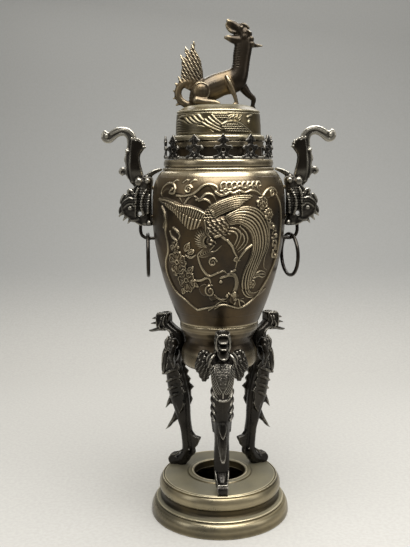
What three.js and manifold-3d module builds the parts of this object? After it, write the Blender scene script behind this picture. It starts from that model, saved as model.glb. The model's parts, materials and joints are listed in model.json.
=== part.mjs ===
// A tripod incense burner: bronze castings, hanging rings and the fasteners that hold them.
// Millimetres, +Z up, -Y is the front. The object is drawn about the plinth's axis, and the group then
// moves it back so that the origin is the middle of its bounding box on the standing plane.
import * as THREE from 'three';
import { mergeVertices } from 'three/addons/utils/BufferGeometryUtils.js';
import Module from 'manifold-3d';

const wasm = await Module();
wasm.setup();

// Driving dimensions
const PLINTH_RADIUS = 75;
const PLINTH_HEIGHT = 40;
const PLINTH_HOLE_RADIUS = 28;
const LEG_RISE = 123; // from the plinth's top to the underside of the cup
const CUP_RADIUS = 40.2;
const CUP_HEIGHT = 48;
const VASE_RADIUS = 69.2;
const VASE_HEIGHT = 158.5;
const WALL = 3.5;
const COLLAR_RADIUS = 56.2;
const NECK_RADIUS = 45.8;
const NECK_HEIGHT = 30.5;
const CROWN_HEIGHT = 26.5;
const CROWN_POINTS = 12;
const CROWN_THICKNESS = 2;
const LID_HEIGHT = 29.8;
const FINIAL_HEIGHT = 86.1;
const RING_RADIUS = 21.75; // to the middle of its wire
const RING_WIRE = 1.9;
const LOOP_WIRE = 1.75;
const RIVET_RADIUS = 2;
const BOLT_RADIUS = 4;
const TENON_RADIUS = 3.5;

// Clearances and tessellation
const GAP = 0.3; // what touching pieces keep between them
const MODELLED = 0.15; // how far a modelled casting's skin may move when its smallest faces are merged
const TURNED = 0.05; // and how far that of any other piece may
const ROUND = 32;
const FINE_ROUND = 10;

// Where the object is turned to: the front leg and one crown point stand a little right of front
const LEG_TURN = THREE.MathUtils.degToRad(3);
const CROWN_TURN = THREE.MathUtils.degToRad(5);
const LEFT_RING_YAW = THREE.MathUtils.degToRad(5);
const RIGHT_RING_YAW = THREE.MathUtils.degToRad(18);

// Heights that follow from the stack
const cupBase = PLINTH_HEIGHT + LEG_RISE;
const vaseBase = cupBase + CUP_HEIGHT + GAP;
const neckBase = vaseBase + VASE_HEIGHT + GAP;
const neckTop = neckBase + NECK_HEIGHT;
const lidBase = neckTop + GAP;
const drumBase = lidBase + 4.3;
const lidTop = drumBase + LID_HEIGHT;

// Finishes
const BRONZE_DARK = { color: 0x2a211b, roughness: 0.5, metalness: 0.85 };
const BRONZE_BROWN = { color: 0x47392a, roughness: 0.48, metalness: 0.85 };
const BRONZE_OLIVE = { color: 0x5f5138, roughness: 0.45, metalness: 0.85 };
const FASTENER = { color: 0x6b5a3c, roughness: 0.55, metalness: 0.85 };

const object = new THREE.Group();

// Solids

// A three.js geometry as a manifold solid, its faces turned outward.
function solidOf(geometry) {
  const bare = geometry.clone();
  bare.deleteAttribute('normal');
  bare.deleteAttribute('uv');
  const merged = mergeVertices(bare, 1e-4);
  const corners = merged.index.array;
  const triangles = [];
  for (let i = 0; i < corners.length; i += 3) {
    const [a, b, c] = corners.slice(i, i + 3);
    if (a !== b && b !== c && c !== a) triangles.push(a, b, c);
  }
  const build = (triVerts) => new wasm.Manifold(new wasm.Mesh({
    numProp: 3,
    vertProperties: new Float32Array(merged.attributes.position.array),
    triVerts: new Uint32Array(triVerts),
  }));
  const solid = build(triangles);
  return solid.volume() > 0 ? solid : build(triangles.reverse());
}

function joined(...solids) {
  return wasm.Manifold.union(solids);
}

// A solid of revolution about Z from [radius, height] points.
function turned(profile, segments = ROUND) {
  const points = profile.map(([r, z]) => new THREE.Vector2(r, z));
  if (profile[0][0] > 0 || profile[profile.length - 1][0] > 0) points.push(points[0].clone());
  return solidOf(new THREE.LatheGeometry(points, segments).rotateX(Math.PI / 2));
}

// A smooth run of [radius, height] points through the given ones.
function smoothRun(points, count) {
  const curve = new THREE.SplineCurve(points.map(([r, z]) => new THREE.Vector2(r, z)));
  return curve.getPoints(count).map((p) => [p.x, p.y]);
}

// A closed skin over rings of equally many points.
function lofted(rings) {
  const count = rings[0].length;
  const positions = rings.flat().flatMap((p) => [p.x, p.y, p.z]);
  const middle = (ring) => ring.reduce((sum, p) => sum.add(p), new THREE.Vector3()).divideScalar(count);
  positions.push(...middle(rings[0]).toArray(), ...middle(rings[rings.length - 1]).toArray());
  const firstCap = rings.length * count;
  const index = [];
  for (let k = 0; k < count; k++) {
    const next = (k + 1) % count;
    index.push(firstCap, next, k);
    const last = (rings.length - 1) * count;
    index.push(firstCap + 1, last + k, last + next);
    for (let row = 0; row < rings.length - 1; row++) {
      const [low, high] = [row * count, (row + 1) * count];
      index.push(low + k, low + next, high + next, low + k, high + next, high + k);
    }
  }
  const geometry = new THREE.BufferGeometry();
  geometry.setAttribute('position', new THREE.Float32BufferAttribute(positions, 3));
  geometry.setIndex(index);
  return solidOf(geometry);
}

// A limb in the XZ plane: each section is an oval from one side point to the other, 2w thick in Y.
function limb(sections, sides = 8) {
  const rings = sections.map(([x0, z0, x1, z1, w, y = 0]) => {
    const ring = [];
    for (let k = 0; k < sides; k++) {
      const turn = (2 * Math.PI * k) / sides;
      const along = (1 - Math.cos(turn)) / 2;
      ring.push(new THREE.Vector3(x0 + (x1 - x0) * along, y + w * Math.sin(turn), z0 + (z1 - z0) * along));
    }
    return ring;
  });
  return lofted(rings);
}

// A spike from an oval root to a point, curving by its middle point.
function spike(root, middle, tip, radius, sides = 4) {
  const path = new THREE.CatmullRomCurve3([root, middle, tip].map((p) => new THREE.Vector3(...p)));
  const steps = 2;
  const frames = path.computeFrenetFrames(steps, false);
  const rings = [];
  for (let row = 0; row <= steps; row++) {
    const size = radius * (1 - 0.93 * (row / steps));
    const ring = [];
    for (let k = 0; k < sides; k++) {
      const turn = (2 * Math.PI * k) / sides;
      const spoke = frames.normals[row].clone().multiplyScalar(Math.cos(turn) * size)
        .addScaledVector(frames.binormals[row], Math.sin(turn) * size);
      ring.push(path.getPoint(row / steps).add(spoke));
    }
    rings.push(ring);
  }
  return lofted(rings);
}

// A plate cut to an [x, z] outline, standing in the XZ plane about y = 0, its edges eased or sharp.
function plate(outline, thickness, ease = 0) {
  const shape = new THREE.Shape(outline.map(([x, z]) => new THREE.Vector2(x, z)));
  const geometry = new THREE.ExtrudeGeometry(shape, {
    depth: thickness - 2 * ease,
    bevelEnabled: ease > 0,
    bevelThickness: ease,
    bevelSize: ease,
    bevelOffset: -ease,
    bevelSegments: 1,
    steps: 1,
  });
  return solidOf(geometry.translate(0, 0, ease - thickness / 2).rotateX(Math.PI / 2));
}

// A round bar from one point to another.
function bar(from, to, radius, segments = FINE_ROUND) {
  const [a, b] = [new THREE.Vector3(...from), new THREE.Vector3(...to)];
  const geometry = new THREE.CylinderGeometry(radius, radius, a.distanceTo(b), segments);
  const aim = new THREE.Quaternion().setFromUnitVectors(
    new THREE.Vector3(0, 1, 0),
    b.clone().sub(a).normalize(),
  );
  geometry.applyQuaternion(aim).translate(...a.add(b).divideScalar(2).toArray());
  return solidOf(geometry);
}

// A wire bent along a path.
function wire(path, radius, steps) {
  const section = new THREE.Shape().absarc(0, 0, radius, 0, 2 * Math.PI);
  return solidOf(new THREE.ExtrudeGeometry(section, {
    steps,
    extrudePath: path,
    curveSegments: 5,
    bevelEnabled: false,
  }));
}

// Puts a finished solid into the scene as a named mesh of its own.
function place(name, solid, finish, turn = 0) {
  const { vertProperties, triVerts } = solid.simplify(TURNED).getMesh();
  const geometry = new THREE.BufferGeometry();
  geometry.setAttribute('position', new THREE.Float32BufferAttribute(vertProperties, 3));
  geometry.setIndex([...triVerts]);
  geometry.computeVertexNormals();
  const mesh = new THREE.Mesh(geometry, new THREE.MeshStandardMaterial({ ...finish, flatShading: true }));
  mesh.name = name;
  mesh.rotation.z = turn;
  object.add(mesh);
}

// Profiles shared by the castings and by what is fitted against them

const plinthTopLine = [
  [PLINTH_RADIUS - 13, PLINTH_HEIGHT - 0.6],
  [PLINTH_RADIUS - 27, PLINTH_HEIGHT + 0.8],
  [PLINTH_HOLE_RADIUS + 6, PLINTH_HEIGHT + 2],
];

const cupLine = smoothRun([
  [CUP_RADIUS - 8, cupBase],
  [CUP_RADIUS - 1.2, cupBase + 0.06 * CUP_HEIGHT],
  [CUP_RADIUS, cupBase + 0.29 * CUP_HEIGHT],
  [CUP_RADIUS - 3.6, cupBase + 0.55 * CUP_HEIGHT],
  [CUP_RADIUS - 6.8, cupBase + 0.65 * CUP_HEIGHT],
  [CUP_RADIUS - 4, cupBase + 0.77 * CUP_HEIGHT],
  [CUP_RADIUS + 2, cupBase + 0.9 * CUP_HEIGHT],
  [CUP_RADIUS + 2.2, cupBase + 0.96 * CUP_HEIGHT],
], 8);

// Outer line of the vase as fractions of its widest radius and its height
const vaseLine = smoothRun([
  [0.612, 0.012],
  [0.73, 0.135],
  [0.866, 0.322],
  [0.979, 0.57],
  [1, 0.74],
  [0.965, 0.91],
  [0.875, 0.985],
].map(([r, z]) => [r * VASE_RADIUS, vaseBase + z * VASE_HEIGHT]), 10);
const vaseTop = vaseBase + VASE_HEIGHT;
const mouthRadius = NECK_RADIUS + 4.5;

const vaseFloor = vaseBase + 5;

// Inner line of the vase, from just above its floor to under the shoulder
const vaseInnerLine = [
  ...vaseLine.filter(([, z]) => z > vaseFloor + 8 && z < vaseTop - 12).map(([r, z]) => [r - WALL, z]),
  [0.79 * VASE_RADIUS, vaseTop - 5.5],
];

const radiusAt = (line, z) => {
  const upper = line.findIndex(([, height]) => height >= z);
  const [[r0, z0], [r1, z1]] = [line[upper - 1], line[upper]];
  return r0 + ((r1 - r0) * (z - z0)) / (z1 - z0);
};

// How far out a flat head of this half width can sit inside a faceted bore
const seatInside = (radius, halfWidth) => (
  Math.sqrt((radius * Math.cos(Math.PI / ROUND)) ** 2 - halfWidth ** 2) - GAP
);

// What a piece seated on a turned casting has to stay out of: the casting's line, grown by the gap.
function keepOut(line, below, above) {
  const grown = line.map(([r, z]) => [r + GAP, z]);
  const [[firstRadius], [lastRadius]] = [grown[0], grown[grown.length - 1]];
  return turned([[0, below], [firstRadius, below], ...grown, [lastRadius, above], [0, above]]);
}

const cupKeepOut = keepOut(cupLine, cupBase - GAP, vaseBase);
const vaseKeepOut = keepOut(vaseLine, vaseBase - 1, vaseTop);
const plinthKeepOut = turned([
  [0, 0],
  [PLINTH_RADIUS, 0],
  [PLINTH_RADIUS, PLINTH_HEIGHT - 0.6 + GAP],
  ...plinthTopLine.map(([r, z]) => [r, z + GAP]),
  [0, PLINTH_HEIGHT + 2 + GAP],
]);

// Plinth: a moulded hollow ring with a raised rim round its hole

const legAngles = { front: -90, right: 30, left: 150 };
const footRadius = 46; // where the tenons under the feet go through the plinth
const ceiling = PLINTH_HEIGHT - 4.6; // flat underside that the foot nuts pull against

function plinth() {
  const R = PLINTH_RADIUS;
  const torusBead = [
    [R - 11.4, PLINTH_HEIGHT - 14.4],
    [R - 9.1, PLINTH_HEIGHT - 11],
    [R - 9.2, PLINTH_HEIGHT - 6.4],
    [R - 10.6, PLINTH_HEIGHT - 3],
    plinthTopLine[0],
  ];
  const footBand = [[R, 0], [R - 0.4, 6], [R - 2.2, 11], [R - 4.4, 14]];
  const cove = [[R - 5.4, 16.2], [R - 11, 18.8], [R - 13, 22]];
  const hollow = [
    [PLINTH_HOLE_RADIUS, ceiling],
    [R - 18, ceiling],
    [R - 16.8, 22],
    [R - 9, 12],
    [R - 5, 0],
  ];
  const rim = [
    [PLINTH_HOLE_RADIUS + 5.4, PLINTH_HEIGHT + 3.4],
    [PLINTH_HOLE_RADIUS, PLINTH_HEIGHT + 4],
  ];
  let solid = turned([
    ...footBand, ...cove, ...torusBead, ...plinthTopLine.slice(1), ...rim,
    ...hollow,
  ]);
  for (const degrees of Object.values(legAngles)) {
    const angle = THREE.MathUtils.degToRad(degrees) + LEG_TURN;
    const [x, y] = [footRadius * Math.cos(angle), footRadius * Math.sin(angle)];
    const hole = bar([x, y, 0], [x, y, 2 * PLINTH_HEIGHT], TENON_RADIUS + GAP);
    solid = solid.subtract(hole);
  }
  return solid;
}

place('base_plinth', plinth(), BRONZE_OLIVE);

// Legs: a beaked head under the vase, scaly chest with hanging wings, and a foot like a rolled strap

const legBoltZ = cupBase + 0.3 * CUP_HEIGHT;
const cupInnerRadius = CUP_RADIUS - WALL - 0.7;

// The leg is drawn for a rise of 123 mm and stretches with it.
const up = (z) => PLINTH_HEIGHT + ((z - PLINTH_HEIGHT) * LEG_RISE) / 123;
// and it moves out with the cup
const out = (r, z) => r + (CUP_RADIUS - 40.2) * THREE.MathUtils.smoothstep(z, 60, 160);
const at = (r, z) => [out(r, z), up(z)];

function legBody() {
  const section = (inner, outer, w) => [...at(...inner), ...at(...outer), w];
  return limb([
    section([41, 45], [50, 46], 6.8),
    section([33, 60.5], [47.2, 62], 8),
    section([34.4, 80.5], [48.8, 80], 8),
    section([36, 97], [54, 97], 7.7),
    section([37, 108], [58, 108], 8.2),
    section([38.4, 120], [62.6, 118], 9),
    section([39.6, 128], [65.4, 128], 10),
    section([41, 137], [70.5, 141], 11.6),
    section([44, 146], [72.4, 154], 11.8),
    section([47, 155], [72.2, 166], 11),
    section([46, 165], [69.5, 175], 9.6),
    section([40, 173], [64, 181], 8),
    section([37, 185], [60, 187], 7.2),
    section([46, 197.4], [61, 190.4], 7),
    section([53, 202.5], [66.5, 193.2], 7),
    section([60, 213.5], [73, 194.4], 7.2),
    section([69, 213], [76.5, 195.4], 7.2),
    section([77.2, 211.8], [79, 198.4], 6),
  ]);
}

const beakTip = [88.7, 190.8];

function legBeak() {
  return joined(
    plate([at(70, 210.4), at(83.2, 205.8), at(76, 203), at(68, 204)], 7),
    plate([at(72, 203), at(85.4, 199.2), at(78, 197.6), at(70, 198.4)], 4),
    plate([at(72, 197.4), at(82, 194.2), at(...beakTip), at(86, 189.8), at(79, 192.4), at(70, 194)], 7),
  );
}

// The wings lie round the cup, so they sweep back from the chest
function legWings() {
  const outline = [
    [5, 188], [12, 191], [20.5, 191], [26, 186], [26.2, 178.5], [24, 170], [20.8, 162], [18, 158.6],
    [15.8, 163.4], [12.6, 164], [10, 160], [5, 162],
  ];
  const sweep = 20;
  const side = (mirror) => plate(outline.map(([y, z]) => [y * mirror, up(z)]), 8, 1)
    .rotate([0, 0, 90 + sweep * mirror])
    .translate([out(52, 160), 0, 0]);
  return joined(side(1), side(-1));
}

// Two saw-toothed fins on the inner side of the chest, splayed to the left and the right
function legTeeth() {
  const saw = [
    [48.4, 162], [42.4, 157], [46.6, 152.4], [39, 147.4], [41.6, 143.6], [35.6, 140.6], [39.6, 136],
    [32.2, 129.6], [37, 126], [36.8, 118], [33.4, 115], [36.4, 108.4],
  ];
  const spine = [52, 108];
  const splay = 12;
  const fin = (side) => plate([...saw, spine, [58, 162]].map(([r, z]) => at(r, z)), 3.4)
    .translate([-out(spine[0], 130), side * 6.4, 0])
    .rotate([0, 0, -side * splay])
    .translate([out(spine[0], 130), 0, 0]);
  return joined(fin(-1), fin(1));
}

function legTufts() {
  return joined(
    spike(
      [out(55, 122), 0, up(122)],
      [out(62, 113), 0, up(113)],
      [out(65.8, 107.4), 0, up(107.4)],
      5,
    ),
    spike([out(46, 104), 0, up(104)], [out(57, 92), 0, up(92)], [out(65.8, 81.2), 0, up(81.2)], 5),
    spike([out(40, 72), 0, up(68)], [out(30, 71), 0, up(70.5)], [out(21.8, 75.6), 0, up(75.6)], 5.5),
  );
}

// A flat strap that sweeps forward and ends in a roll
function legFoot() {
  const roll = { r: 56.7, z: 45.7, radius: 6.1, half: 6.3 };
  const strap = limb([
    [35.4, 53, 45, 61, 6.8],
    [38.4, 46.6, 49.4, 54.6, 7.2],
    [44, 40, 53, 51.4, 6.6],
    [50, 38.6, 57, 49.4, 6],
  ], 12);
  return joined(strap, bar([roll.r, -roll.half, roll.z], [roll.r, roll.half, roll.z], roll.radius));
}

function leg() {
  const tenon = bar([footRadius, 0, ceiling - 6], [footRadius, 0, PLINTH_HEIGHT + 8], TENON_RADIUS);
  const boltHole = bar([0, 0, legBoltZ], [CUP_RADIUS + 9.5, 0, legBoltZ], RIVET_RADIUS + GAP);
  return joined(legBody(), legBeak(), legWings(), legTeeth(), legTufts(), legFoot())
    .simplify(MODELLED)
    .subtract(plinthKeepOut)
    .add(tenon)
    .subtract(cupKeepOut)
    .subtract(boltHole);
}

function footNut() {
  const height = 4;
  const hexagon = new THREE.CylinderGeometry(6.5, 6.5, height, 6).rotateX(Math.PI / 2);
  return solidOf(hexagon)
    .subtract(bar([0, 0, -height], [0, 0, height], TENON_RADIUS + GAP))
    .translate([footRadius, 0, ceiling - GAP - height / 2]);
}

// A domed head, its flat side at x = seat and facing +X
function rivetHead(seat, z) {
  const disc = (back, radius) => [seat - back, z - radius, seat - back, z + radius, radius];
  return limb([disc(2.8, 2), disc(1.5, 3.5), disc(0, 4)], FINE_ROUND);
}

// A bolt from inside the cup into the leg, its round head against the cup's wall
function legBolt() {
  return rivetHead(seatInside(cupInnerRadius, 4), legBoltZ)
    .add(bar([cupInnerRadius - 3, 0, legBoltZ], [CUP_RADIUS + 8.5, 0, legBoltZ], RIVET_RADIUS));
}

for (const [side, degrees] of Object.entries(legAngles)) {
  const turn = THREE.MathUtils.degToRad(degrees) + LEG_TURN;
  place(`leg_${side}`, leg(), BRONZE_DARK, turn);
  place(`foot_nut_${side}`, footNut(), FASTENER, turn);
  place(`leg_bolt_${side}`, legBolt(), FASTENER, turn);
}

// Cup: the small bowl that the three legs hold, closed below and open to the vase

function cup() {
  const top = cupBase + CUP_HEIGHT;
  const floor = cupBase + 4;
  const innerLine = [
    [CUP_RADIUS - 3, top],
    [CUP_RADIUS - 3, top - 4],
    [CUP_RADIUS - 8.2, cupBase + 0.77 * CUP_HEIGHT],
    [CUP_RADIUS - 10.8, cupBase + 0.65 * CUP_HEIGHT],
    [cupInnerRadius, cupBase + 0.43 * CUP_HEIGHT],
    [cupInnerRadius, cupBase + 0.15 * CUP_HEIGHT],
    [cupInnerRadius - 4, floor],
  ];
  let solid = turned([[0, cupBase], ...cupLine, [CUP_RADIUS + 1, top], ...innerLine, [0, floor]]);
  for (const degrees of Object.values(legAngles)) {
    const turn = degrees + THREE.MathUtils.radToDeg(LEG_TURN);
    const hole = bar([20, 0, legBoltZ], [60, 0, legBoltZ], RIVET_RADIUS + GAP).rotate([0, 0, turn]);
    solid = solid.subtract(hole);
  }
  return solid.subtract(bar([0, 0, cupBase - 5], [0, 0, floor + 5], BOLT_RADIUS + GAP));
}

place('lower_cup', cup(), BRONZE_BROWN);

// The long bolt that draws the vase down on the cup, and its nut under the cup

function bodyBolt() {
  const head = 4;
  return turned([
    [0, cupBase - 8],
    [BOLT_RADIUS - 0.8, cupBase - 8],
    [BOLT_RADIUS, cupBase - 7],
    [BOLT_RADIUS, vaseFloor + GAP],
    [2.2 * BOLT_RADIUS, vaseFloor + GAP],
    [2.2 * BOLT_RADIUS, vaseFloor + GAP + head / 2],
    [1.2 * BOLT_RADIUS, vaseFloor + GAP + head],
    [0, vaseFloor + GAP + head],
  ], FINE_ROUND);
}

function bodyNut() {
  const height = 5;
  return solidOf(new THREE.CylinderGeometry(8.5, 8.5, height, 6).rotateX(Math.PI / 2))
    .subtract(bar([0, 0, -height], [0, 0, height], BOLT_RADIUS + GAP))
    .translate([0, 0, cupBase - GAP - height / 2]);
}

place('body_bolt', bodyBolt(), FASTENER);
place('body_nut', bodyNut(), FASTENER);

// Handles: where the mirrored pair sits on the vase wall

const handleFoot = vaseBase + 0.643 * VASE_HEIGHT;
const loopZ = handleFoot - 13.7;
const ringReach = VASE_RADIUS + 5.3; // the rings' distance from the axis
const handleRivetHeights = [handleFoot + 9, handleFoot + 39];

// Vase: the main casting, a hollow pot with a flat floor and a relief panel before and behind

// The panel's sunken field and what stands up in it, as [distance round the wall, height above the vase's
// foot]. The distance is true at the widest radius, and the panel narrows with the wall.
const fieldOutline = [
  [-65, 124], [-58.5, 108], [-59, 84], [-69, 67], [-69.5, 54], [-61, 39], [-31, 20.4], [0, 26], [30, 23],
  [50, 32], [66, 49], [75, 68], [77.5, 92], [76.5, 116], [68, 134], [36, 139], [0, 138], [-12, 146],
  [-26, 138], [-46, 139], [-66, 138],
];
const reliefOutlines = {
  leftWing: [[-69, 131], [-50, 129.4], [-29, 125.4], [-14, 119.6], [-20, 104], [-29, 102], [-41, 111], [-56, 123]],
  rightWing: [[-14, 119], [0, 129.6], [18, 135], [35, 134.6], [34, 131.6], [14, 125.6], [-4, 114]],
  body: [[-20, 111], [-4, 117], [9, 115], [9, 102], [0, 96], [-4, 87.6], [-12, 87], [-22, 82], [-23, 91], [-16, 99]],
  tail: [
    [6, 115], [20, 122], [33, 121.6], [48, 110], [54.6, 95], [52, 76], [40, 58], [36, 44], [47, 36.6], [60, 37],
    [46, 31.4], [34, 36], [28, 44], [28, 56], [36, 80], [34, 96], [24, 106.6], [10, 108],
  ],
  flowers: [[-60, 70], [-52, 78], [-40, 78], [-31, 62], [-32, 46], [-44, 41], [-55, 52]],
  tree: [[2, 56], [19, 56], [23, 49], [22, 40], [36, 26], [24, 25], [12, 36], [17, 41], [16, 50]],
};
const fieldDepth = 0.8;
const reliefHeight = 0.7;

// A panel outline as a block that stands through the front wall
function frontBlock(outline) {
  const points = outline.map(([round, rise]) => {
    const z = vaseBase + (rise * VASE_HEIGHT) / 158.5;
    return [radiusAt(vaseLine, z) * Math.sin(round / 69.2), z];
  });
  return plate(points, VASE_RADIUS).translate([0, -VASE_RADIUS / 2 - 6, 0]);
}

// The wall's line moved out by some way, as a solid core
function wallCore(grow) {
  return turned([[0, vaseLine[0][1]], ...vaseLine.map(([r, z]) => [r + grow, z]), [0, vaseLine.at(-1)[1]]]);
}

function carved(solid) {
  const field = frontBlock(fieldOutline).subtract(wallCore(-fieldDepth));
  const raised = joined(...Object.values(reliefOutlines).map(frontBlock))
    .intersect(wallCore(reliefHeight))
    .subtract(wallCore(-fieldDepth - 0.5));
  return [0, 180].reduce((pot, turn) => (
    pot.subtract(field.rotate([0, 0, turn])).add(raised.rotate([0, 0, turn]))
  ), solid);
}

function vase() {
  let solid = turned([
    [0, vaseBase],
    [0.59 * VASE_RADIUS, vaseBase],
    ...vaseLine,
    [0.83 * VASE_RADIUS, vaseTop],
    [mouthRadius, vaseTop],
    [mouthRadius, vaseTop - 4],
    ...[...vaseInnerLine].reverse(),
    [0.56 * VASE_RADIUS, vaseFloor],
    [0, vaseFloor],
  ]);
  for (const side of [-1, 1]) {
    for (const z of handleRivetHeights) {
      solid = solid.subtract(bar([side * 40, 0, z], [side * 90, 0, z], RIVET_RADIUS + GAP));
    }
    solid = solid.subtract(bar([side * 40, 0, loopZ], [side * 90, 0, loopZ], LOOP_WIRE + GAP));
  }
  return carved(solid).subtract(bar([0, 0, vaseBase - 5], [0, 0, vaseFloor + 5], BOLT_RADIUS + GAP));
}

place('vase_body', vase(), BRONZE_BROWN);

// Handles: a beaked head on the wall, a gutter-like leaf above it and a scrolled plate behind

// Points are drawn from the vase's widest radius and the handle's foot.
const handlePoint = ([r, z]) => [VASE_RADIUS + r, handleFoot + z];

function handleHead() {
  return plate([
    [-12, 53.5], [2, 53], [9, 51], [17.5, 43], [23, 36.8], [29, 31.5], [32.4, 24], [34.2, 12.6],
    [29.4, 9.6], [25.2, 6.4], [21, 5.2], [17, 2.2], [12.2, 0], [-6, 0.6],
  ].map(handlePoint), 13, 2);
}

function handleLeaf() {
  const back = [[7, 46], [12, 62], [12.3, 67], [9.3, 77], [4.3, 81.6], [8, 86], [14, 90.5], [18, 92]];
  const front = [[20, 86], [21, 75], [20, 60], [17, 46]];
  const gutter = [[-8, 54], [12, 54], [16.4, 62], [16.8, 74], [13.6, 84], [8, 92], [-8, 92]];
  return plate([...back, ...front].map(handlePoint), 18, 1.4)
    .subtract(plate(gutter.map(handlePoint), 12, 1));
}

function handleScroll() {
  return plate([
    [15, 44], [24.2, 49], [28, 53.8], [31.2, 52.8], [33.2, 56.4], [31, 60], [28, 61.6], [28.2, 70],
    [26.3, 77], [25.2, 84.4], [25.8, 90.2], [29.4, 92.8], [34, 92.2], [39, 88], [43.4, 85.3], [48, 86],
    [52, 89.4], [51.6, 95], [48, 98.2], [42.6, 96.2], [35, 100.8], [28, 101.4], [19, 98], [14, 90],
    [17, 80], [17.5, 60],
  ].map(handlePoint), 6, 1);
}

function handle() {
  const holes = handleRivetHeights.map((z) => (
    bar([VASE_RADIUS - 20, 0, z], [VASE_RADIUS + 8.8, 0, z], RIVET_RADIUS + GAP)
  ));
  const [eyeX, eyeZ] = handlePoint([12.8, 17.4]);
  const eye = bar([eyeX, -20, eyeZ], [eyeX, 20, eyeZ], 2.4, 12);
  const [socketX, socketZ] = handlePoint([12.8, 8]);
  const socket = bar([socketX, 0, handleFoot - 5], [socketX, 0, socketZ], LOOP_WIRE + GAP);
  const bud = limb([
    [...handlePoint([21, 38]), ...handlePoint([22, 33]), 5],
    [...handlePoint([24.6, 38.8]), ...handlePoint([26.6, 35.4]), 3],
  ], 8);
  return joined(handleHead(), handleLeaf(), handleScroll(), bud)
    .simplify(MODELLED)
    .subtract(vaseKeepOut)
    .subtract(joined(...holes, eye, socket));
}

// The wire loop under a handle: down out of its socket and level into the vase wall
function loop() {
  const [topX, topZ] = handlePoint([12.8, 7.6]);
  const path = new THREE.CurvePath();
  const bend = 7;
  const corner = [topX, loopZ];
  path.add(new THREE.LineCurve3(
    new THREE.Vector3(topX, 0, topZ),
    new THREE.Vector3(topX, 0, corner[1] + bend),
  ));
  path.add(new THREE.QuadraticBezierCurve3(
    new THREE.Vector3(topX, 0, corner[1] + bend),
    new THREE.Vector3(topX, 0, corner[1]),
    new THREE.Vector3(topX - bend, 0, corner[1]),
  ));
  path.add(new THREE.LineCurve3(
    new THREE.Vector3(topX - bend, 0, corner[1]),
    new THREE.Vector3(radiusAt(vaseInnerLine, loopZ) - 2.5, 0, corner[1]),
  ));
  return wire(path, LOOP_WIRE, 12);
}

// A rivet from inside the vase, its domed head against the wall
function handleRivet(z) {
  const wall = Math.min(radiusAt(vaseInnerLine, z - 4), radiusAt(vaseInnerLine, z + 4));
  return rivetHead(seatInside(wall, 4), z).add(bar([wall - 3, 0, z], [VASE_RADIUS + 8, 0, z], RIVET_RADIUS));
}

const sides = { right: 0, left: Math.PI };
for (const [side, turn] of Object.entries(sides)) {
  place(`handle_${side}`, handle(), BRONZE_DARK, turn);
  place(`loop_${side}`, loop(), BRONZE_DARK, turn);
  place(`handle_rivet_${side}_lower`, handleRivet(handleRivetHeights[0]), FASTENER, turn);
  place(`handle_rivet_${side}_upper`, handleRivet(handleRivetHeights[1]), FASTENER, turn);
}

// Rings: each hangs with its inner side resting on its loop's wire

function ring(side, yaw) {
  const centreZ = loopZ + LOOP_WIRE + GAP - (RING_RADIUS - RING_WIRE);
  const torus = new THREE.TorusGeometry(RING_RADIUS, RING_WIRE, 8, 28);
  return solidOf(torus.rotateY(Math.PI / 2).rotateZ(yaw).translate(side * ringReach, 0, centreZ));
}

place('ring_left', ring(-1, LEFT_RING_YAW), BRONZE_DARK);
place('ring_right', ring(1, RIGHT_RING_YAW), BRONZE_DARK);

// Neck: the collar on the vase's shoulder with the tube that carries the lid

const deck = neckBase + 11;

function neck() {
  const bore = NECK_RADIUS - WALL;
  return turned([
    [bore, neckTop],
    [bore, neckBase - 8],
    [mouthRadius - GAP, neckBase - 8],
    [mouthRadius - GAP, neckBase],
    [COLLAR_RADIUS - 1, neckBase],
    [COLLAR_RADIUS - 1.2, neckBase + 2.6],
    ...smoothRun([
      [COLLAR_RADIUS - 0.6, neckBase + 3.2],
      [COLLAR_RADIUS + 0.2, neckBase + 6.8],
      [COLLAR_RADIUS - 0.2, deck - 0.2],
    ], 4),
    [COLLAR_RADIUS - 1, deck],
    [NECK_RADIUS + 1, deck],
    [NECK_RADIUS, deck + 1.5],
    [NECK_RADIUS - 0.9, deck + 9],
    [NECK_RADIUS + 0.2, neckTop - 1],
  ]);
}

place('neck_collar', neck(), BRONZE_BROWN);

// Crown: a thin gallery of twelve upright fleurs round the neck, on a foot band

const crownBase = deck + GAP;

// One fleur, half of it, as [across, up] from the middle of its foot
const fleurHalf = [
  [9.6, 2.4], [8, 6.6], [4.4, 9.4], [9.6, 10.6], [9.4, 15.4], [4.6, 15.6], [6.2, 19.6], [0, 26.5],
];

function crown() {
  const radius = COLLAR_RADIUS - 0.8 - CROWN_THICKNESS / 2;
  const stretch = CROWN_HEIGHT / 26.5;
  const tip = fleurHalf[fleurHalf.length - 1];
  const right = fleurHalf.slice(0, -1);
  const left = right.map(([across, height]) => [-across, height]).reverse();
  const outline = [[9.6, 1], ...right, tip, ...left, [-9.6, 1]];
  const shape = new THREE.Shape(outline.map(([across, height]) => new THREE.Vector2(across, height * stretch)));
  const flat = new THREE.ExtrudeGeometry(shape, { depth: CROWN_THICKNESS, bevelEnabled: false });
  const fleur = solidOf(flat.translate(0, 0, -CROWN_THICKNESS / 2)).warp((p) => {
    const turn = p[0] / radius;
    const reach = radius + p[2];
    [p[0], p[1], p[2]] = [reach * Math.sin(turn), -reach * Math.cos(turn), crownBase + p[1]];
  });
  const foot = turned([
    [NECK_RADIUS + 2.4, crownBase],
    [COLLAR_RADIUS - 0.8, crownBase],
    [COLLAR_RADIUS - 0.8, crownBase + 2.8],
    [COLLAR_RADIUS - 0.8 - CROWN_THICKNESS, crownBase + 2.8],
    [COLLAR_RADIUS - 1.2 - CROWN_THICKNESS, crownBase + 1.6],
    [NECK_RADIUS + 2.4, crownBase + 1.6],
  ]);
  const fleurs = Array.from({ length: CROWN_POINTS }, (_, k) => fleur.rotate([0, 0, (360 / CROWN_POINTS) * k]));
  return joined(foot, ...fleurs);
}

place('crown_gallery', crown(), BRONZE_BROWN, CROWN_TURN);

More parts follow.
